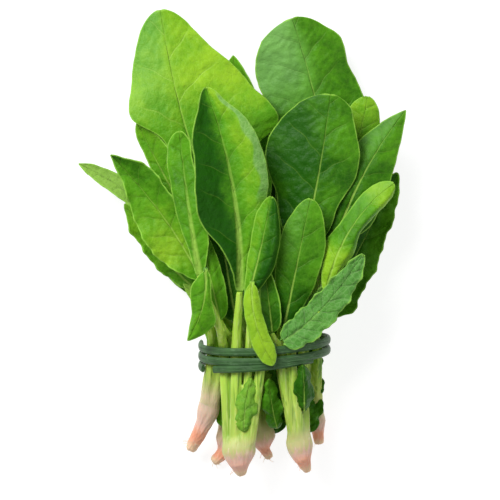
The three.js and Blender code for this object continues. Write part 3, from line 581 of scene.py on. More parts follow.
def stalk_material(settings):
    material, g, principled = new_material("Spinach stalk", IOR=1.40, Subsurface_Weight=0.12, Subsurface_Scale=0.004)
    place = g.put("ShaderNodeTexCoord", {}, {}, "Object")
    foot = g.attribute("foot")
    ribs = g.noise(g.stretched(place, (1.0, 0.055, 1.0)), 620.0, 3.0, 0.6)
    bands = g.noise(g.stretched(place, (1.0, 0.10, 1.0)), 170.0, 2.0)
    mottle = g.noise(place, 90.0, 3.0)
    green = g.mix(foot.smooth(0.15, 0.9), tuple(settings.pale), tuple(settings.green))
    # Painted shade: dark streaks along the stalks for the shade between neighbouring stalks.
    shaded = g.mix((bands - 0.40).clamped() * 2.4, green, (0.15, 0.36, 0.012))
    # Painted shade: narrow dark streaks below the tie for the shade in the gaps between the stalks.
    below_tie = foot.smooth(0.12, 0.35) * foot.smooth(1.05, 0.8)
    gap_shade = g.noise(g.stretched(place, (1.0, 0.035, 1.0)), 330.0, 1.0).smooth(0.54, 0.64) * below_tie
    gap_shaded = g.mix(gap_shade * 0.75, shaded, (0.07, 0.21, 0.006))
    # Pale streaks along the ribs: the ribs' paler colour, and a painted highlight on them.
    streaked = g.mix(ribs.smooth(0.48, 0.70) * 0.6, gap_shaded, (0.62, 0.74, 0.24))
    # Painted shade: darker in the valleys where the fused stalks meet, away from the crown.
    hollow = g.attribute("valley").smooth(0.02, 0.55) * foot.smooth(0.05, 0.3)
    collar = g.mix(g.attribute("pinkness"), (0.50, 0.56, 0.17), tuple(settings.flush))
    flushed = g.mix(foot.smooth(0.10 + g.attribute("pinkness") * 0.24, 0.0) * (0.4 + mottle).clamped(), streaked, collar)
    roughness = 0.40 + (mottle - 0.5) * 0.2
    recess_shaded = g.mix(hollow * 0.9, flushed, (0.05, 0.16, 0.005))
    finish_material(g, principled, recess_shaded, roughness, ribs + bands * 0.8, 0.8, 1.0 * MM)
    return material


def root_material(settings):
    material, g, principled = new_material("Spinach root", IOR=1.38, Subsurface_Weight=0.15, Subsurface_Scale=0.003)
    place = g.put("ShaderNodeTexCoord", {}, {}, "Object")
    down = g.attribute("down")
    streaks = g.noise(g.stretched(place, (1.0, 0.12, 1.0)), 520.0, 4.0, 0.65)
    mottle = g.noise(place, 210.0, 4.0)
    rings = g.noise(g.stretched(place, (0.15, 1.0, 0.15)), 480.0, 3.0)
    collar = g.mix(g.attribute("pinkness"), (0.50, 0.56, 0.17), (0.68, 0.50, 0.37))
    ragged = down + (streaks - 0.5) * 0.9
    crown = g.mix(ragged.smooth(0.05, 0.5), collar, tuple(settings.pink))
    root = g.mix(down.smooth(0.38, 0.66) * g.attribute("warmth"), crown, tuple(settings.salmon))
    tip = g.mix(down.smooth(0.74, 1.0), root, (0.84, 0.60, 0.38))
    streaked = g.mix(streaks.smooth(0.52, 0.75) * 0.45, tip, (0.88, 0.74, 0.62))
    soiled = g.mix(mottle.smooth(0.60, 0.78) * 0.35, streaked, (0.34, 0.20, 0.12))
    roughness = 0.48 + (mottle - 0.5) * 0.25
    finish_material(g, principled, soiled, roughness, streaks + rings * 0.3 + mottle * 0.4, 0.5, 0.5 * MM)
    return material


def tie_material(settings):
    material, g, principled = new_material("Tie strand", IOR=1.42)
    place = g.put("ShaderNodeTexCoord", {}, {}, "Object")
    around = g.attribute("around")
    ridges = abs((around * 9.0).fraction() - 0.5) * 2.0
    mottle = g.noise(place, 160.0, 4.0)
    scuff = g.noise(g.stretched(place, (0.25, 1.0, 1.0)), 420.0, 3.0)
    base = g.mix((mottle - 0.25).clamped() * 1.4, tuple(settings.colour), (0.07, 0.19, 0.05))
    worn = g.mix(scuff.smooth(0.52, 0.74) * 0.5 * ridges, base, (0.22, 0.36, 0.20))
    roughness = 0.42 + (scuff - 0.5) * 0.3
    finish_material(g, principled, worn, roughness, ridges * 0.7 + scuff * 0.5, 0.55, 0.5 * MM)
    return material


# Meshes


def new_piece(name, verts, faces, material, replaced=()):
    mesh = bpy.data.meshes.new(name)
    mesh.from_pydata([tuple(v) for v in verts], [], [tuple(f) for f in faces])
    mesh.materials.append(material)
    piece = bpy.data.objects.new(name, mesh)
    bpy.context.scene.collection.objects.link(piece)
    return settle_piece(piece, replaced)


def settle_piece(piece, replaced=()):
    """Smooth shading, its place in the frame, and the solids that the piece stands for."""
    piece.data.polygons.foreach_set("use_smooth", [True] * len(piece.data.polygons))
    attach(piece, "root")
    if replaced:
        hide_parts(*replaced)
    return piece


def put_numbers(mesh, name, values):
    attribute = mesh.attributes.new(name, "FLOAT", "POINT")
    attribute.data.foreach_set("value", np.asarray(values, np.float32))


def node_points(name):
    """The corners of a solid, in mm, each once."""
    mesh = NODES[name].data
    points = np.zeros(len(mesh.vertices) * 3)
    mesh.vertices.foreach_get("co", points)
    return np.unique(np.round(points.reshape(-1, 3) / MM, 3), axis=0)


def look(blade, key):
    return blade.get(key, LOOK.get(key))


def widest(blade, side):
    """Greatest width of one side of a blade, in mm. Side 0 is the left, side 1 the right."""
    if "half" in blade:
        return blade["half"][side]
    return max(blade["right" if side else "left"]) * UNIT_MM


def width_at(blade, side, s):
    """Width of one side of a blade at shares s of its midrib, in mm."""
    s = np.clip(s, 1e-6, 1 - 1e-6)
    if "half" in blade:
        shoulder, point = blade["shoulder"], blade["point"]
        top = shoulder / (shoulder + point)
        return blade["half"][side] * (s / top) ** shoulder * ((1 - s) / (1 - top)) ** point
    widths = np.array(blade["right" if side else "left"]) * UNIT_MM
    last = len(EDGE_SHARES) - 1
    before, after = np.maximum(np.arange(last + 1) - 1, 0), np.minimum(np.arange(last + 1) + 1, last)
    slopes = (widths[after] - widths[before]) / (EDGE_SHARES[after] - EDGE_SHARES[before])
    k = np.clip(np.searchsorted(EDGE_SHARES, s, side="right") - 1, 0, last - 1)
    span = EDGE_SHARES[k + 1] - EDGE_SHARES[k]
    f = np.clip((s - EDGE_SHARES[k]) / span, 0, 1)
    start = widths[k] * (1 + 2 * f) * (1 - f) ** 2 + slopes[k] * span * f * (1 - f) ** 2
    end = widths[k + 1] * f * f * (3 - 2 * f) + slopes[k + 1] * span * f * f * (f - 1)
    base = widths[0] * (s / EDGE_SHARES[0]) ** BASE_ROUNDING
    tip = widths[last] * ((1 - s) / (1 - EDGE_SHARES[last])) ** blade["taper"]
    return np.where(s <= EDGE_SHARES[0], base, np.where(s >= EDGE_SHARES[last], tip, start + end))


def neck_of(blade):
    """Half the width of the midrib where it joins its stalk, in mm."""
    sides = widest(blade, 0), widest(blade, 1)
    largest = 1.12 if max(sides) > 20 else 1
    smallest = 0.72 if sum(sides) < 16 else 1
    return 2.9 * largest * smallest * 0.62


def plan(blade, s, t):
    """Plan of a blade: x and y in mm for shares along the midrib (s) and across the blade (t)."""
    base, bend, tip = (flat_place(*blade[key]) for key in ("base", "bend", "tip"))
    s_in = np.clip(s, 0, 1)[..., None]
    centre = (1 - s_in) ** 2 * base + 2 * s_in * (1 - s_in) * bend + s_in**2 * tip
    along = 2 * (1 - s_in) * (bend - base) + 2 * s_in * (tip - bend)
    along = along / np.linalg.norm(along, axis=-1, keepdims=True)
    across = np.stack([along[..., 1], -along[..., 0]], -1)
    half = np.where(t < 0, width_at(blade, 0, s), width_at(blade, 1, s))
    half = half + neck_of(blade) * (1 - np.clip(s, 0, 1)) ** 4
    return centre + across * (t * half)[..., None], across, half


def spline(values, where):
    """A smooth curve through evenly spaced values, read at fractional places along the first axis."""
    count = len(values)
    low = np.clip(np.floor(where).astype(int), 0, count - 2)
    f = (where - low)[:, None]
    at = lambda k: values[np.clip(low + k, 0, count - 1)]
    before = np.where((low > 0)[:, None], at(-1), 2 * at(0) - at(1))
    after = np.where((low < count - 2)[:, None], at(2), 2 * at(1) - at(0))
    return at(0) + 0.5 * f * (
        at(1) - before + f * (2 * before - 5 * at(0) + 4 * at(1) - after + f * (3 * (at(0) - at(1)) + after - before))
    )


def steps_of(count):
    """Steps along a solid blade, from how many corners it has: two for each crossing of its lines."""
    return math.ceil(count / len(COLUMNS) / 2) - 1


def solid_shift():
    """How far the solids lie from the leaf table's own places, in mm: their box is centred."""
    blade = BLADES["middle_right"]
    points = node_points("leaf_middle_right")
    steps = steps_of(len(points))
    rows = TIP_END * (1 - np.cos(np.pi * np.arange(steps + 1) / steps)) / 2
    s, t = np.meshgrid(rows, COLUMNS, indexing="ij")
    return points[:, :2].mean(0) - plan(blade, s, t)[0].reshape(-1, 2).mean(0)


SHIFT = solid_shift()


def solid_heights(name, blade):
    """Heights of a solid blade's middle surface, on its own grid of lines, in mm."""
    points = node_points("leaf_" + name)
    steps = steps_of(len(points))
    rows = TIP_END * (1 - np.cos(np.pi * np.arange(steps + 1) / steps)) / 2
    s, t = np.meshgrid(rows, COLUMNS, indexing="ij")
    places = plan(blade, s, t)[0] + SHIFT
    heights = np.zeros(s.shape)
    for i, j in np.ndindex(s.shape):
        gap = np.hypot(*(points[:, :2] - places[i, j]).T)
        near = points[gap < max(0.8, gap.min() + 0.3)]
        heights[i, j] = near[:, 2].max() - SOLID_HALF
    return heights, steps


def eased(values, low, high):
    """0 at low, 1 at high, eased between them. low may be the larger."""
    f = np.clip((values - low) / (high - low), 0, 1)
    return f * f * (3 - 2 * f)


def crumpled_heights(blade, seed):
    """Heights of a crumpled leaf on the same kind of grid as a solid's, in mm."""
    rows = np.linspace(0, 1, 9)[:, None]
    low, high = blade["level"]
    folds = look(blade, "fold") * np.sin(9 * rows + 3 * COLUMNS + seed) * np.sin(4 * COLUMNS + 5 * rows + 2 * seed)
    return low + (high - low) * rows + folds, 8


def make_blade(name, blade, settings, material):
    solid = "leaf_" + name if "level" not in blade else None
    heights, steps = solid_heights(name, blade) if solid else crumpled_heights(blade, len(name))
    seed = sum(map(ord, name)) * 0.37
    length = np.linalg.norm(flat_place(*blade["tip"]) - flat_place(*blade["base"]))
    breadth = max(widest(blade, 0), widest(blade, 1))
    cell = settings.cell / MM
    rows = int(np.clip(length / cell, 16, 120))
    columns = 2 * int(np.clip(breadth * 1.15 / cell, 7, 46)) + 1
    s_line = 0.998 * (1 - np.cos(np.linspace(0, np.pi, rows + 1))) / 2
    t_line = np.sin(np.linspace(-np.pi / 2, np.pi / 2, columns)) * 0.35 + np.linspace(-1, 1, columns) * 0.65
    s, t = np.meshgrid(s_line, t_line, indexing="ij")
    places, across, half = plan(blade, s, t)
    row_at = np.arccos(np.clip(1 - 2 * s_line / TIP_END, -1, 1)) / np.pi * steps
    column_at = np.interp(t_line, COLUMNS, np.arange(len(COLUMNS)))
    z = spline(spline(heights, row_at).T, column_at).T

    # side veins leave the midrib and bend towards the tip
    lateral = t * half
    away = np.abs(lateral)
    run = s * length
    spacing = VEIN_SPREAD * look(blade, "vein")
    hand = np.where(t < 0, 0.0, 0.45)
    wobble = 1.3 * np.sin(0.11 * run + seed) + 0.5 * np.sin(0.30 * run + 0.31 * away + 2 * seed)
    phase = (run - 0.95 * away + 0.008 * away**2 + wobble) / spacing + hand + seed
    valley = np.abs(np.sin(np.pi * phase)) ** 0.7
    crumple = np.sin(0.55 * lateral + 1.7 * np.sin(0.31 * run + seed)) * np.sin(0.62 * run + 1.4 * np.sin(0.37 * lateral))
    cushions = 0.72 + 0.28 * crumple
    inside = np.clip(np.abs(t) / 0.12, 0, 1) * (1 - np.abs(t) ** 6) * np.clip(12 * s, 0, 1) * np.clip(9 * (1 - s), 0, 1)
    quilt = look(blade, "quilt") * (0.7 * valley * cushions + 0.3 * crumple - 0.35) * inside
    folds = np.sin(1.5 * lateral + 2.1 * np.sin(0.7 * run + seed))
    folds = folds * np.sin(1.1 * run + 1.8 * np.sin(0.9 * lateral + seed))
    quilt = quilt + look(blade, "crinkle") * folds * np.clip(12 * s, 0, 1) * np.clip(9 * (1 - s), 0, 1)
    waves = np.sin(run * 0.42 + 4 * hand + seed) + 0.5 * np.sin(run * 0.93 + 7 * hand + 2 * seed)
    ends = np.clip(8 * s, 0, 1) * np.clip(8 * (1 - s), 0, 1)
    ripple = 0.5 * look(blade, "ripple") * np.abs(t) ** 4 * waves * ends
    places = places + across * (0.5 * look(blade, "ripple") * np.abs(t) ** 3 * t * waves * ends * 0.5)[..., None]
    rib = neck_of(blade) * (1 - s) ** 0.7 * 0.8 + 0.25
    painted = neck_of(blade) * look(blade, "rib") * (1 - s) ** 1.2 * 0.8 + 0.25
    groove = settings.groove / MM * np.exp(-((lateral / (rib * 0.75 + 0.3)) ** 2)) * np.clip(1.15 - s, 0, 1)
    surface = np.dstack([places + SHIFT, z + quilt + ripple - groove - look(blade, "sink") * (0.3 + t**2)])
    if solid:
        back = surface[0].mean(0) - surface[2].mean(0)
        surface[0] += back / np.linalg.norm(back) * BASE_REACH

    down = np.gradient(surface, axis=0)
    right = np.gradient(surface, axis=1)
    normal = np.cross(right, down)
    normal /= np.linalg.norm(normal, axis=2, keepdims=True) + 1e-9
    thin = settings.thickness / MM / 2 * np.clip((1 - np.abs(t)) / 0.04 + 0.25, 0, 1)
    keel = 1.7 * rib * np.exp(-((lateral / (rib * 0.95)) ** 2)) * np.clip(1.1 - s, 0, 1)
    top = surface + normal * thin[..., None]
    bottom = surface - normal * (thin + keel + groove * 0.6)[..., None]
    bottom[..., 2] = np.maximum(bottom[..., 2], 0.02)
    top[..., 2] = np.maximum(top[..., 2], bottom[..., 2] + 0.1)

    count = (rows + 1) * columns
    index = np.arange(count).reshape(rows + 1, columns)
    quads = lambda grid: np.stack([grid[:-1, :-1], grid[:-1, 1:], grid[1:, 1:], grid[1:, :-1]], -1).reshape(-1, 4)
    faces = [quads(index), quads(index + count)[:, ::-1]]
    ring = np.concatenate([index[0, :-1], index[:-1, -1], index[-1, :0:-1], index[:0:-1, 0]])
    after = np.roll(ring, -1)
    faces.append(np.stack([after, ring, ring + count, after + count], -1))
    verts = np.concatenate([top.reshape(-1, 3), bottom.reshape(-1, 3)]) * MM
    title = ("blade_" if solid else "crumpled_") + name
    piece = new_piece(title, verts, np.concatenate(faces), material, [solid] if solid else [])

    mesh = piece.data
    # Tone: the blade's own green. On some blades it also carries painted shade and light, as the table says.
    if "bands" in blade:
        tone = np.interp(s, *zip(*blade["bands"]))
    else:
        tone = blade["tone"] + look(blade, "tipward") * (s - 0.5) * 2
    tone = tone + look(blade, "rightward") * np.clip(t * 2.5, -1, 1)
    lifted = np.full(s.shape, look(blade, "under"))
    if look(blade, "strip"):
        margin, low, high = look(blade, "strip")
        edge = margin + 0.06 * np.sin(0.3 * run)
        lifted = np.maximum(lifted, eased(t, edge, edge + 0.05) * eased(s, low, low + 0.1) * eased(s, high, high - 0.04))
    # Painted sheen: a pale highlight towards the tip on the blade's left side, the side that faces the key light.
    sheen = look(blade, "bloom") * eased(s, 0.35, 0.8) * eased(t, 0.35, -0.5)
    both = lambda values: np.concatenate([values.ravel(), values.ravel()])
    put_numbers(mesh, "tone", both(tone))
    put_numbers(mesh, "rim", both(np.minimum((1 - np.abs(t)) * half, (1 - s) * length * 0.7)))
    put_numbers(mesh, "edge", both(np.full(s.shape, look(blade, "edge"))))
    put_numbers(mesh, "side", both(np.abs(t)))
    put_numbers(mesh, "phase", both(phase))
    put_numbers(mesh, "across", both(lateral / (painted * 4 + 1.2)))
    put_numbers(mesh, "share", both(s))
    put_numbers(mesh, "bloom", both(sheen))
    put_numbers(mesh, "under", np.concatenate([lifted.ravel(), np.full(count, 1.0)]))
    leaf = np.stack([both(lateral + 40), both(run)], -1) * 0.1
    corners = np.zeros(len(mesh.loops), np.int32)
    mesh.loops.foreach_get("vertex_index", corners)
    mesh.uv_layers.new(name="leaf").data.foreach_set("uv", leaf[corners].ravel())
    return piece


def refined_copy(nodes, name, settings, collar, ahead):
    """A smooth, evenly meshed copy of solids that touch, softest where they join at the collar."""
    work = bmesh.new()
    for node in nodes:
        work.from_mesh(NODES[node].data)
    bmesh.ops.remove_doubles(work, verts=work.verts, dist=1e-6)
    bmesh.ops.recalc_face_normals(work, faces=work.faces)
    mesh = bpy.data.meshes.new(name)
    work.to_mesh(mesh)
    work.free()
    piece = bpy.data.objects.new(name, mesh)
    bpy.context.scene.collection.objects.link(piece)
    swell = piece.modifiers.new("Swelling", "DISPLACE")
    swell.strength = settings.swelling
    swell.mid_level = 0.0
    remesh = piece.modifiers.new("Even mesh", "REMESH")
    remesh.mode = "VOXEL"
    remesh.voxel_size = settings.cell
    smooth = piece.modifiers.new("Rounding", "SMOOTH")
    smooth.factor = 0.5
    versions = []
    for iterations in (settings.rounding, settings.softening, settings.blending):
        smooth.iterations = iterations
        versions.append(
            bpy.data.meshes.new_from_object(piece.evaluated_get(bpy.context.evaluated_depsgraph_get()))
        )
    crisp, soft, blended = versions
    crisp_points, soft_points, blended_points = map(mesh_points, versions)
    sunk = ((soft_points - crisp_points) * mesh_normals(crisp)).sum(1) / MM
    from_collar = np.abs((crisp_points[:, :2] - collar) @ ahead)
    weight = eased(from_collar, 0.014, 0.002)[:, None]
    crisp.vertices.foreach_set("co", (crisp_points * (1 - weight) + blended_points * weight).ravel())
    # How far softening sinks each point; the stalk material uses it to paint shade in the valleys.
    put_numbers(crisp, "valley", sunk)
    bpy.data.objects.remove(piece)
    bpy.data.meshes.remove(mesh)
    bpy.data.meshes.remove(soft)
    bpy.data.meshes.remove(blended)
    return crisp


def cut_part(mesh, name, place, direction, material):
    """The part of a mesh that lies ahead of a plane, closed there without showing an edge."""
    work = bmesh.new()
    work.from_mesh(mesh)
    geometry = [*work.verts, *work.edges, *work.faces]
    cut = bmesh.ops.bisect_plane(work, geom=geometry, plane_co=place, plane_no=direction, clear_inner=True)
    rim = [item for item in cut["geom_cut"] if isinstance(item, bmesh.types.BMEdge)]
    for face in work.faces:
        face.smooth = True
    bmesh.ops.holes_fill(work, edges=rim)
    for edge in rim:
        edge.smooth = False
    part = bpy.data.meshes.new(name)
    work.to_mesh(part)
    work.free()
    part.materials.append(material)
    piece = bpy.data.objects.new(name, part)
    bpy.context.scene.collection.objects.link(piece)
    return piece


def mesh_points(mesh):
    points = np.zeros(len(mesh.vertices) * 3)
    mesh.vertices.foreach_get("co", points)
    return points.reshape(-1, 3)


def mesh_normals(mesh):
    normals = np.zeros(len(mesh.vertices) * 3)
    mesh.vertices.foreach_get("normal", normals)
    return normals.reshape(-1, 3)


def plant_line(plant):
    """Collar and root end of a plant on the table, in metres."""
    collar, root = PLANTS[plant]
    return (flat_place(*collar) + SHIFT) * MM, (flat_place(*root) + SHIFT) * MM


# The tie


def strand_point(angle):
    turns = (math.pi - angle) / (2 * math.pi)
    centre = flat_place(*TIE_AT) + SHIFT
    return Vector(
        (
            centre[0] + TIE_HALF_WIDTH * math.cos(angle),
            centre[1] + STRAND_SLANT * (1 - math.sin(angle)) + STRAND_SKEW * math.cos(angle) - STRAND_PITCH * turns,
            TIE_RING_Z + TIE_HALF_HEIGHT * math.sin(angle),
        )
    ) * MM


def strand_tree(name, material):
    """A geometry tree that sweeps a flat ridged strand along a curve, its flat side facing an axis."""
    tree = bpy.data.node_groups.new(name, "GeometryNodeTree")
    face = tree.interface
    face.new_socket("Geometry", in_out="INPUT", socket_type="NodeSocketGeometry")
    for socket, default in (("Width", 0.005), ("Thickness", 0.003)):
        item = face.new_socket(socket, in_out="INPUT", socket_type="NodeSocketFloat")
        item.default_value = default
    axis = face.new_socket("Axis", in_out="INPUT", socket_type="NodeSocketVector")
    axis.default_value = (0, 0, 0)
    face.new_socket("Geometry", in_out="OUTPUT", socket_type="NodeSocketGeometry")
    g = Graph(tree)
    entry = tree.nodes.new("NodeGroupInput")
    take = lambda socket: Number(g, entry.outputs[socket])
    place = g.put("GeometryNodeInputPosition")
    outward = g.put("ShaderNodeVectorMath", {"operation": "SUBTRACT"}, {0: place, 1: take("Axis")})
    flat = g.put("ShaderNodeVectorMath", {"operation": "MULTIPLY"}, {0: outward, 1: (1.0, 0.0, 2.4)})
    smooth = g.put("GeometryNodeResampleCurve", {"mode": "LENGTH"}, {"Curve": take("Geometry"), "Length": 0.0009})
    turned = g.put("GeometryNodeSetCurveNormal", {"mode": "FREE"}, {"Curve": smooth, "Normal": flat})
    circle = g.put("GeometryNodeCurvePrimitiveCircle", {"mode": "RADIUS"}, {"Resolution": 22, "Radius": 0.5})
    size = g.put("ShaderNodeCombineXYZ", {}, {0: take("Thickness"), 1: take("Width"), 2: 1.0})
    profile = g.put("GeometryNodeTransform", {}, {"Geometry": circle, "Scale": size})
    share = g.put("GeometryNodeSplineParameter", {}, {}, "Factor")
    marked = g.put(
        "GeometryNodeStoreNamedAttribute",
        {"data_type": "FLOAT", "domain": "POINT"},
        {"Geometry": profile, "Name": "around", "Value": share},
    )
    tube = g.put(
        "GeometryNodeCurveToMesh", {}, {"Curve": turned, "Profile Curve": marked, "Fill Caps": True}
    )
    real = g.put("GeometryNodeRealizeInstances", {}, {"Geometry": tube})
    painted = g.put("GeometryNodeSetMaterial", {}, {"Geometry": real, "Material": material})
    leave = tree.nodes.new("NodeGroupOutput")
    tree.links.new(painted.socket, leave.inputs[0])
    return tree


def set_input(modifier, name, value):
    items = modifier.node_group.interface.items_tree
    item = next(i for i in items if i.name == name and i.in_out == "INPUT")
    modifier[item.identifier] = value


def sweep(name, points, tree, width, thickness, axis):
    curve = bpy.data.curves.new(name, "CURVE")
    curve.dimensions = "3D"
    line = curve.splines.new("POLY")
    line.points.add(len(points) - 1)
    for spot, point in zip(line.points, points):
        spot.co = (*point, 1.0)
    source = bpy.data.objects.new(name + "_path", curve)
    bpy.context.scene.collection.objects.link(source)
    modifier = source.modifiers.new("Strand", "NODES")
    modifier.node_group = tree
    set_input(modifier, "Width", width)
    set_input(modifier, "Thickness", thickness)
    set_input(modifier, "Axis", axis)
    mesh = bpy.data.meshes.new_from_object(source.evaluated_get(bpy.context.evaluated_depsgraph_get()))
    bpy.data.objects.remove(source)
    bpy.data.curves.remove(curve)
    mesh.name = name
    piece = bpy.data.objects.new(name, mesh)
    bpy.context.scene.collection.objects.link(piece)
    return piece


# Rootlets


def rootlet_tree(name, material):
    """A geometry tree that grows thin tapered hairs from the lower part of a root."""
    tree = bpy.data.node_groups.new(name, "GeometryNodeTree")
    face = tree.interface
    face.new_socket("Geometry", in_out="INPUT", socket_type="NodeSocketGeometry")
    for socket, kind, default in (
        ("Count", "NodeSocketInt", 8),
        ("Length", "NodeSocketFloat", 0.007),
        ("Seed", "NodeSocketInt", 1),
    ):
        face.new_socket(socket, in_out="INPUT", socket_type=kind).default_value = default
    face.new_socket("Geometry", in_out="OUTPUT", socket_type="NodeSocketGeometry")
    g = Graph(tree)
    entry = tree.nodes.new("NodeGroupInput")
    take = lambda socket: Number(g, entry.outputs[socket])
    down = g.put("GeometryNodeInputNamedAttribute", {"data_type": "FLOAT"}, {"Name": "down"})
    low = g.put("FunctionNodeCompare", {"data_type": "FLOAT", "operation": "GREATER_THAN"}, {0: down, 1: 0.55})
    spots = g.put(
        "GeometryNodeDistributePointsOnFaces",
        {"distribute_method": "RANDOM"},
        {"Mesh": take("Geometry"), "Selection": low, "Density": 60000.0, "Seed": take("Seed")},
    )
    node = spots.socket.node
    turn = Number(g, node.outputs["Rotation"])
    order = g.put("GeometryNodeInputIndex")
    too_many = g.put(
        "FunctionNodeCompare", {"data_type": "INT", "operation": "GREATER_EQUAL"}, {2: order, 3: take("Count")}
    )
    few = g.put("GeometryNodeDeleteGeometry", {"domain": "POINT"}, {"Geometry": spots, "Selection": too_many})
    line = g.put(
        "GeometryNodeCurvePrimitiveBezierSegment",
        {},
        {"Resolution": 9, "Start": (0, 0, -0.04), "Start Handle": (0.0, 0.02, 0.45), "End Handle": (0.22, -0.1, 0.7),
         "End": (0.30, -0.32, 1.0)},
    )
    share = g.put("GeometryNodeSplineParameter", {}, {}, "Factor")
    tapered = g.put("GeometryNodeSetCurveRadius", {}, {"Curve": line, "Radius": 1.05 - share})
    ring = g.put("GeometryNodeCurvePrimitiveCircle", {"mode": "RADIUS"}, {"Resolution": 5, "Radius": 0.035})
    hair = g.put("GeometryNodeCurveToMesh", {}, {"Curve": tapered, "Profile Curve": ring, "Fill Caps": True})
    size = g.put("FunctionNodeRandomValue", {"data_type": "FLOAT"}, {2: 0.35, 3: 1.0, 8: take("Seed")}, 1)
    placed = g.put(
        "GeometryNodeInstanceOnPoints",
        {},
        {"Points": few, "Instance": hair, "Rotation": turn, "Scale": size * take("Length")},
    )
    real = g.put("GeometryNodeRealizeInstances", {}, {"Geometry": placed})
    painted = g.put("GeometryNodeSetMaterial", {}, {"Geometry": real, "Material": material})
    leave = tree.nodes.new("NodeGroupOutput")
    tree.links.new(painted.socket, leave.inputs[0])
    return tree


# Operators


class SPINACH_OT_blades(bpy.types.Operator):
    """Make every blade of the bunch, with its midrib, side veins and quilted flesh"""

    bl_idname = "spinach.blades"
    bl_label = "Blades"

    def execute(self, context):
        settings = context.scene.spinach_blade
        material = blade_material(settings)
        for name, blade in [*BLADES.items(), *CRUMPLES.items()]:
            make_blade(name, blade, settings, material)
        return {"FINISHED"}


class SPINACH_OT_plants(bpy.types.Operator):
    """Make every plant's ribbed stalks with the crown and wrinkled tap root that they grow from"""

    bl_idname = "spinach.plants"
    bl_label = "Stalks and roots"

    def execute(self, context):
        stalk, root = context.scene.spinach_stalk, context.scene.spinach_root
        stalk_look, root_look = stalk_material(stalk), root_material(root)
        tree = rootlet_tree("Rootlets", root_look)
        for number, plant in enumerate(PLANTS):
            collar, end = plant_line(plant)
            line = end - collar
            place, ahead = Vector((*collar, 0.0)), Vector((*line, 0.0)).normalized()
            whole = refined_copy(["stalks_" + plant, "root_" + plant], "plant", stalk, collar, np.array(ahead[:2]))
            stalks = cut_part(whole, "fine_stalks_" + plant, place, -ahead, stalk_look)
            crown = cut_part(whole, "fine_root_" + plant, place, ahead, root_look)
            bpy.data.meshes.remove(whole)
            put_numbers(stalks.data, "pinkness", np.full(len(stalks.data.vertices), PINKNESS[plant]))
            put_numbers(stalks.data, "foot", (mesh_points(stalks.data)[:, :2] - collar) @ -np.array(ahead[:2]) / 0.06)
            settle_piece(stalks, ["stalks_" + plant])

            points, normals = mesh_points(crown.data), mesh_normals(crown.data)
            down = (points[:, :2] - collar) @ line / (line @ line)
            beside = (points[:, :2] - collar) @ np.array([-line[1], line[0]]) / np.linalg.norm(line)
            turn = np.arctan2(points[:, 2] - points[:, 2].mean(), beside)
            wrinkle = 0.14 * np.sin(9 * turn + 3 * down + number) + 0.10 * np.sin(17 * turn - 5 * down)
            ring = 0.05 * np.sin(35 * down + 3 * np.sin(turn * 2)) * np.clip(3 * down - 1.5, 0, 1)
            points += normals * ((wrinkle + ring) * np.clip(4 * down, 0, 1))[:, None] * MM
            points[:, 2] = np.maximum(points[:, 2], 0.0001)
            crown.data.vertices.foreach_set("co", points.ravel())
            put_numbers(crown.data, "down", down)
            put_numbers(crown.data, "warmth", np.full(len(down), WARMTH[plant]))
            put_numbers(crown.data, "pinkness", np.full(len(down), PINKNESS[plant]))
            modifier = crown.modifiers.new("Rootlets", "NODES")
            modifier.node_group = tree
            set_input(modifier, "Count", root.rootlets)
            set_input(modifier, "Length", root.rootlet_length)
            set_input(modifier, "Seed", 11 + number)
            hairs = bpy.data.meshes.new_from_object(crown.evaluated_get(context.evaluated_depsgraph_get()))
            crown.modifiers.clear()
            settle_piece(crown, ["root_" + plant])
            if len(hairs.vertices) == 0:
                raise RuntimeError("no rootlets grew on root_" + plant)
            low = mesh_points(hairs)
            low[:, 2] = np.maximum(low[:, 2], 0.0001)
            hairs.vertices.foreach_set("co", low.ravel())
            put_numbers(hairs, "down", np.full(len(hairs.vertices), 0.9))
            put_numbers(hairs, "warmth", np.full(len(hairs.vertices), WARMTH[plant]))
            tuft = bpy.data.objects.new("rootlets_" + plant, hairs)
            context.scene.collection.objects.link(tuft)
            settle_piece(tuft)
        return {"FINISHED"}


class SPINACH_OT_tie(bpy.types.Operator):
    """Wind the strand round the stalks and hold its turns with a small loop"""

    bl_idname = "spinach.tie"
    bl_label = "Tie"

    def execute(self, context):
        settings = context.scene.spinach_tie
        material = tie_material(settings)
        tree = strand_tree("Flat strand", material)
        centre = flat_place(*TIE_AT) + SHIFT
        axis = Vector((centre[0], centre[1], TIE_RING_Z)) * MM
        angles = np.linspace(STRAND_START, STRAND_END, 240)
        winding = sweep(
            "tie_winding", [strand_point(a) for a in angles], tree, settings.width, settings.thickness, axis
        )
        settle_piece(winding, ["tie"])
        middle = (strand_point(KNOT_ANGLE) + strand_point(KNOT_ANGLE - 2 * math.pi)) / 2
        turns = np.linspace(0, 2 * math.pi, 49)
        loop = [
            middle + Vector((0.4 + 1.3 * math.sin(a), 0.1 + 6.9 * math.cos(a), 2.7 * math.sin(a))) * MM for a in turns
        ]
        band = sweep("tie_loop", loop, tree, 4.0 * MM, 1.7 * MM, middle - Vector((0, 0, 3 * MM)))
        settle_piece(band)
        lower = np.linspace(0, 1, 40)
        tail = []
        for share in lower:
            place = flat_place(*(TAIL_FROM + (TAIL_TO - TAIL_FROM) * share)) + SHIFT
            lean = (place[0] - centre[0]) / TIE_HALF_WIDTH
            height = TIE_RING_Z + TIE_HALF_HEIGHT * math.sqrt(max(0.0, 1 - lean * lean)) - 1.4 * share**4
            tail.append(Vector((place[0], place[1] - 1.4 * math.sin(math.pi * share), height)) * MM)
        end = sweep("tie_tail", tail, tree, settings.width * 0.9, settings.thickness, axis)
        settle_piece(end)
        return {"FINISHED"}


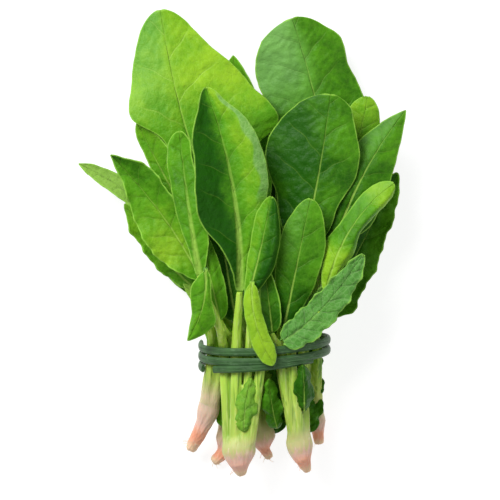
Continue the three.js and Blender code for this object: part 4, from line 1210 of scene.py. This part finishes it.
class SPINACH_OT_stage(bpy.types.Operator):
    """Set the pale table, the soft lights and the camera that looks straight down"""

    bl_idname = "spinach.stage"
    bl_label = "Stage"

    def execute(self, context):
        settings = context.scene.spinach_stage
        material, g, principled = new_material(
            "Pale table", Roughness=0.9, Specular_IOR_Level=0.1, Emission_Color=(1, 1, 1, 1), Emission_Strength=0.82
        )
        place = g.put("ShaderNodeTexCoord", {}, {}, "Object")
        tint = g.mix(g.noise(place, 12.0) * 0.5, (0.30, 0.30, 0.30), (0.32, 0.32, 0.32))
        g.feed(principled.inputs["Base Color"], tint)
        mesh = bpy.data.meshes.new("table")
        mesh.from_pydata([(-6, -6, 0), (6, -6, 0), (6, 6, 0), (-6, 6, 0)], [], [(0, 1, 2, 3)])
        mesh.materials.append(material)
        floor = bpy.data.objects.new("table", mesh)
        context.scene.collection.objects.link(floor)

        for name, place, size, power in (
            ("Key", (-0.55, 0.65, 1.0), 0.7, settings.key),
            ("Fill", (0.8, -0.2, 0.9), 0.9, settings.fill),
        ):
            light = bpy.data.lights.new(name, "AREA")
            light.energy = power
            light.size = size
            lamp = bpy.data.objects.new(name, light)
            lamp.location = place
            lamp.rotation_euler = (Vector((0, 0, 0)) - Vector(place)).to_track_quat("-Z", "Y").to_euler()
            lamp.visible_camera = False
            context.scene.collection.objects.link(lamp)

        world = bpy.data.worlds.new("Room")
        world.use_nodes = True
        world.node_tree.nodes["Background"].inputs[0].default_value = (1.0, 1.0, 1.0, 1.0)
        world.node_tree.nodes["Background"].inputs[1].default_value = settings.sky
        context.scene.world = world
        context.scene.view_settings.view_transform = "Standard"

        camera = bpy.data.cameras.new("Camera")
        camera.lens = settings.lens
        camera.sensor_width = 36.0
        camera.clip_start, camera.clip_end = 0.1, 20.0
        viewer = bpy.data.objects.new("Camera", camera)
        middle = (flat_place(250, 250) + SHIFT) * MM
        distance = settings.view_width * settings.lens / 36.0
        viewer.location = (middle[0], middle[1], distance + 0.036)
        context.scene.collection.objects.link(viewer)
        context.scene.camera = viewer
        return {"FINISHED"}


class SPINACH_PT_panel(bpy.types.Panel):
    bl_idname = "SPINACH_PT_panel"
    bl_label = "Spinach bunch"
    bl_space_type = "VIEW_3D"
    bl_region_type = "UI"
    bl_category = "Spinach"

    def draw(self, context):
        for operator, settings in (
            (SPINACH_OT_blades, context.scene.spinach_blade),
            (SPINACH_OT_plants, context.scene.spinach_stalk),
            (None, context.scene.spinach_root),
            (SPINACH_OT_tie, context.scene.spinach_tie),
            (SPINACH_OT_stage, context.scene.spinach_stage),
        ):
            if operator:
                box = self.layout.box()
                box.operator(operator.bl_idname)
            for name in settings.__annotations__:
                box.prop(settings, name)


SETTINGS = {
    "spinach_blade": SpinachBladeSettings,
    "spinach_stalk": SpinachStalkSettings,
    "spinach_root": SpinachRootSettings,
    "spinach_tie": SpinachTieSettings,
    "spinach_stage": SpinachStageSettings,
}
OPERATORS = (SPINACH_OT_blades, SPINACH_OT_plants, SPINACH_OT_tie, SPINACH_OT_stage)


def register():
    for group in SETTINGS.values():
        bpy.utils.register_class(group)
    for name, group in SETTINGS.items():
        setattr(bpy.types.Scene, name, bpy.props.PointerProperty(type=group))
    for operator in OPERATORS:
        bpy.utils.register_class(operator)
    bpy.utils.register_class(SPINACH_PT_panel)


def unregister():
    bpy.utils.unregister_class(SPINACH_PT_panel)
    for operator in reversed(OPERATORS):
        bpy.utils.unregister_class(operator)
    for name in SETTINGS:
        delattr(bpy.types.Scene, name)
    for group in reversed(list(SETTINGS.values())):
        bpy.utils.unregister_class(group)


def main():
    register()
    bpy.ops.spinach.stage()
    bpy.ops.spinach.blades()
    bpy.ops.spinach.plants()
    bpy.ops.spinach.tie()


if __name__ == "__main__":
    main()
